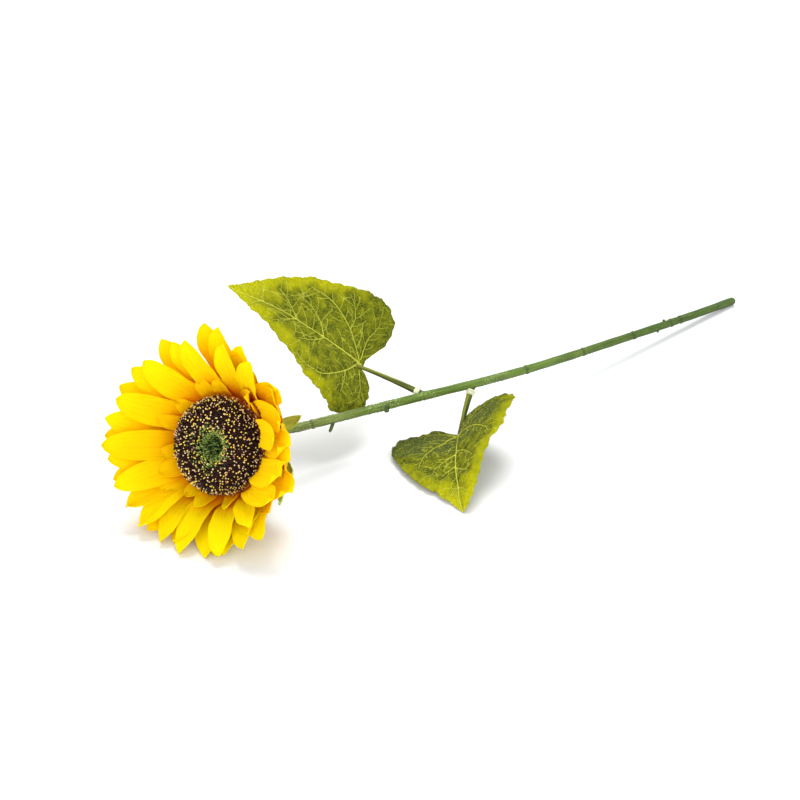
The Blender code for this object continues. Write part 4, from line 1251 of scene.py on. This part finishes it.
def leafMaterial():
    made, tree, shader = newMaterial("leafCloth", 0.8, specular=0.06)
    uv = uvVector(tree)
    group = veinLineGroup()
    veinWay, twigWay = (attribute(tree, name, "Vector") for name in ("vein", "twig"))
    vein = useGroup(group, Vector=veinWay, Width=attribute(tree, "veinWidth"))
    twig = useGroup(group, Vector=twigWay, Width=leafFinish["twigWidth"])
    away = vein.outputs["Distance"]
    ripe = attribute(tree, "ripe")
    net = leafNetwork(tree, uv)
    mottle = scaledNoise(uv, (110.0, 110.0, 1.0), 4.0, 0.6)
    fine = scaledNoise(uv, (700.0, 700.0, 1.0), 3.0, 0.6)
    young = mapRange(ripe, 0.9, 0.35)
    ripeness = plus(ripe, swing(mottle, leafFinish["mottle"]))
    # Greener next to the veins and riper between them: partly the cloth's own colour, partly painted shade
    # beside the raised veins.
    between = mapRange(away, 1.0, 7.0, *leafFinish["between"])
    ripeness = plus(ripeness, times(between, young))
    ground = tint(leafFinish["darkGreen"], leafFinish["green"], mottle, 0.35, 0.65)
    ground = tint(ground, leafFinish["deepGreen"], ripe, -0.1, -0.7)
    ground = tint(ground, leafFinish["ripe"], ripeness, 0.0, 1.15)
    # Painted shade: a darker green band beside each vein, where the raised veins would shade the cloth.
    shade = times(mapRange(away, 3.4, 0.6, 0.0, 0.6), young)
    ground = mixColour(shade, ground, leafFinish["darkGreen"])
    ground = tint(ground, leafFinish["darkGreen"], fine, 0.45, 0.75, 0.3)
    strength = mapRange(scaledNoise(uv, (150.0, 150.0, 1.0)), 0.3, 0.65, 0.25, 0.65)
    colour = mixColour(times(net, strength), ground, leafFinish["network"])
    lines = larger(vein.outputs["Line"], times(twig.outputs["Line"], 0.6))
    colour = mixColour(lines, colour, leafFinish["vein"])
    weave = useGroup(clothWeave, Vector=uv, Threads_per_metre=leafFinish["threads"])
    lumps = scaledNoise(uv, (260.0, 260.0, 1.0))
    height = weighted((net, 0.5), (weave.outputs["Height"], 0.08), (lines, 1.2), (lumps, 2.5))
    paint(shader, colour, height, leafFinish["depth"], 1.0)
    glowThrough(shader, colour, leafFinish["through"])
    return made


def stalkMaterial():
    made, tree, shader = newMaterial("stalkPlastic", 0.5, specular=0.2)
    grain = useGroup(mouldedGrain, Vector=objectVector(tree), Grain_per_metre=1100.0).outputs["Grain"]
    stripe = scaledNoise(uvVector(tree), leafFinish["stalkStripes"])
    colour = tint(leafFinish["stalkDark"], leafFinish["stalkLight"], stripe, 0.40, 0.62)
    colour = tint(colour, leafFinish["stalkFleck"], grain, 0.5, 0.8, 0.3)
    paint(shader, colour, grain, 0.0004, 0.5)
    return made


def stalkPiece(key, leaf, curve, material):
    _, _, _, route = stalkRoute(leaf, curve)
    radii = leafFinish["stalkRadii"]
    radii = np.interp(np.linspace(0, 1, len(route)), np.linspace(0, 1, len(radii)), radii)

    def wobble(turn, travelled):
        uneven = 0.05 * math.cos(2 * turn) + 0.03 * math.cos(5 * turn + travelled * 60)
        return uneven + 0.02 * math.sin(travelled * 500)

    points, faces, uvs = tubeArrays(route, radii * mm, leafFinish["stalkSides"], wobble)
    piece = weld(meshPiece("leafStalk" + key.capitalize(), points, faces, material, uvs))
    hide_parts("leaf_stalk_" + key)
    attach(piece, "root")


pinSizes = {
    # (distance from the boss's face, radius) along the pin
    "profile": (
        (-3.0, 1.0), (-0.4, 1.1), (-0.1, 3.2), (0.5, 4.3), (1.2, 4.1), (1.7, 2.7), (2.1, 2.5), (2.5, 3.4),
        (3.4, 3.5), (4.0, 2.6), (5.6, 1.0),
    ),
    "sides": 20, "cream": (0.80, 0.80, 0.62), "shade": (0.55, 0.58, 0.36),
}


def pinPiece(key, leaf, curve, material):
    _, outward, face, _ = stalkRoute(leaf, curve)
    profile = curvePoints(np.array(pinSizes["profile"]), 4)
    path = [face + outward * reach * mm for reach, _ in profile]
    radii = [max(radius, 0.3) * mm for _, radius in profile]
    points, faces, uvs = tubeArrays(path, radii, pinSizes["sides"])
    piece = weld(meshPiece("leafPin" + key.capitalize(), points, faces, material, uvs))
    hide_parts("leaf_pin_" + key)
    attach(piece, "root")


stemLine = stemCurve()
stemPiece(stemLine)
print("stem made")
leafMade, stalkMade = leafMaterial(), stalkMaterial()
pinMade = plasticMaterial("pinPlastic", pinSizes["shade"], pinSizes["cream"], 900.0, 0.35)
for leafKey, leafSize in leafSizes.items():
    leafBlade(leafKey, leafSize, leafMade)
    stalkPiece(leafKey, leafSize, stemLine, stalkMade)
    pinPiece(leafKey, leafSize, stemLine, pinMade)
print("leaves made")


# The disc base and the core wire keep the CAD's shape and get their finish.
sealedIn = {
    "discDeep": (0.02, 0.008, 0.008), "discPale": (0.07, 0.025, 0.02),
    "steelDark": (0.45, 0.45, 0.46), "steelLight": (0.62, 0.62, 0.63), "brushing": (60.0, 2500.0, 2500.0),
}


def wireMaterial():
    made, tree, shader = newMaterial("coreWireSteel", 0.35)
    shader.inputs["Metallic"].default_value = 1.0
    brushed = scaledNoise(objectVector(tree), sealedIn["brushing"], 3.0)
    tree.links.new(mapRange(brushed, 0.3, 0.7, 0.28, 0.5), shader.inputs["Roughness"])
    colour = mixColour(brushed, sealedIn["steelDark"], sealedIn["steelLight"])
    paint(shader, colour, brushed, 0.0001, 0.4)
    return made


def dress(node, material):
    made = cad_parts[node]
    made.data.materials.clear()
    made.data.materials.append(material)


dress("disc_base", plasticMaterial("discPlastic", sealedIn["discDeep"], sealedIn["discPale"], 800.0))
dress("stem_core_wire", wireMaterial())
print("disc base and core wire finished")


view = {"azimuth": -44.02, "elevation": 28.0, "distance": 2.0, "target": (-69.6, 32.5, 30.0), "lens": 115.4}
studio = {
    "floor": 0.79, "floorSize": 12.0, "sky": 0.82, "skyColour": (0.965, 0.98, 1.0, 1.0),
    # soft suns: where the light comes from, its strength and how wide it is in degrees
    "suns": {"overhead": ((0.36, 0.36, 1.0), 2.4, 32.0), "frontFill": ((-0.66, -0.64, 0.22), 3.2, 80.0)},
}


def aimed(name, data, back):
    # A camera or light that looks along the way opposite to back.
    piece = bpy.data.objects.new(name, data)
    piece.rotation_mode = "QUATERNION"
    piece.rotation_quaternion = (-back).to_track_quat("-Z", "Y")
    bpy.context.scene.collection.objects.link(piece)
    return piece


def makeCamera():
    azimuth, elevation = math.radians(view["azimuth"]), math.radians(view["elevation"])
    level = math.cos(elevation)
    back = Vector((math.sin(azimuth) * level, -math.cos(azimuth) * level, math.sin(elevation)))
    data = bpy.data.cameras.new("camera")
    data.lens = view["lens"]
    data.sensor_width = 36.0
    camera = aimed("camera", data, back)
    camera.location = Vector(view["target"]) * mm + drawingShift + back * view["distance"]
    bpy.context.scene.camera = camera


def makeFloor():
    made, _, shader = newMaterial("paleFloor", 0.8, specular=0.1)
    shader.inputs["Base Color"].default_value = (studio["floor"],) * 3 + (1.0,)
    bpy.ops.mesh.primitive_plane_add(size=studio["floorSize"], location=(0, 0, 0))
    floor = bpy.context.object
    floor.name = "floor"
    floor.data.materials.append(made)


def makeLights():
    for name, (source, strength, width) in studio["suns"].items():
        data = bpy.data.lights.new(name, "SUN")
        data.energy = strength
        data.angle = math.radians(width)
        aimed(name, data, Vector(source))
    world = bpy.data.worlds.new("studio")
    world.use_nodes = True
    sky = world.node_tree.nodes["Background"]
    sky.inputs["Color"].default_value = studio["skyColour"]
    sky.inputs["Strength"].default_value = studio["sky"]
    bpy.context.scene.world = world
    bpy.context.scene.view_settings.view_transform = "Standard"


makeCamera()
makeFloor()
makeLights()
print("camera, floor and light made")
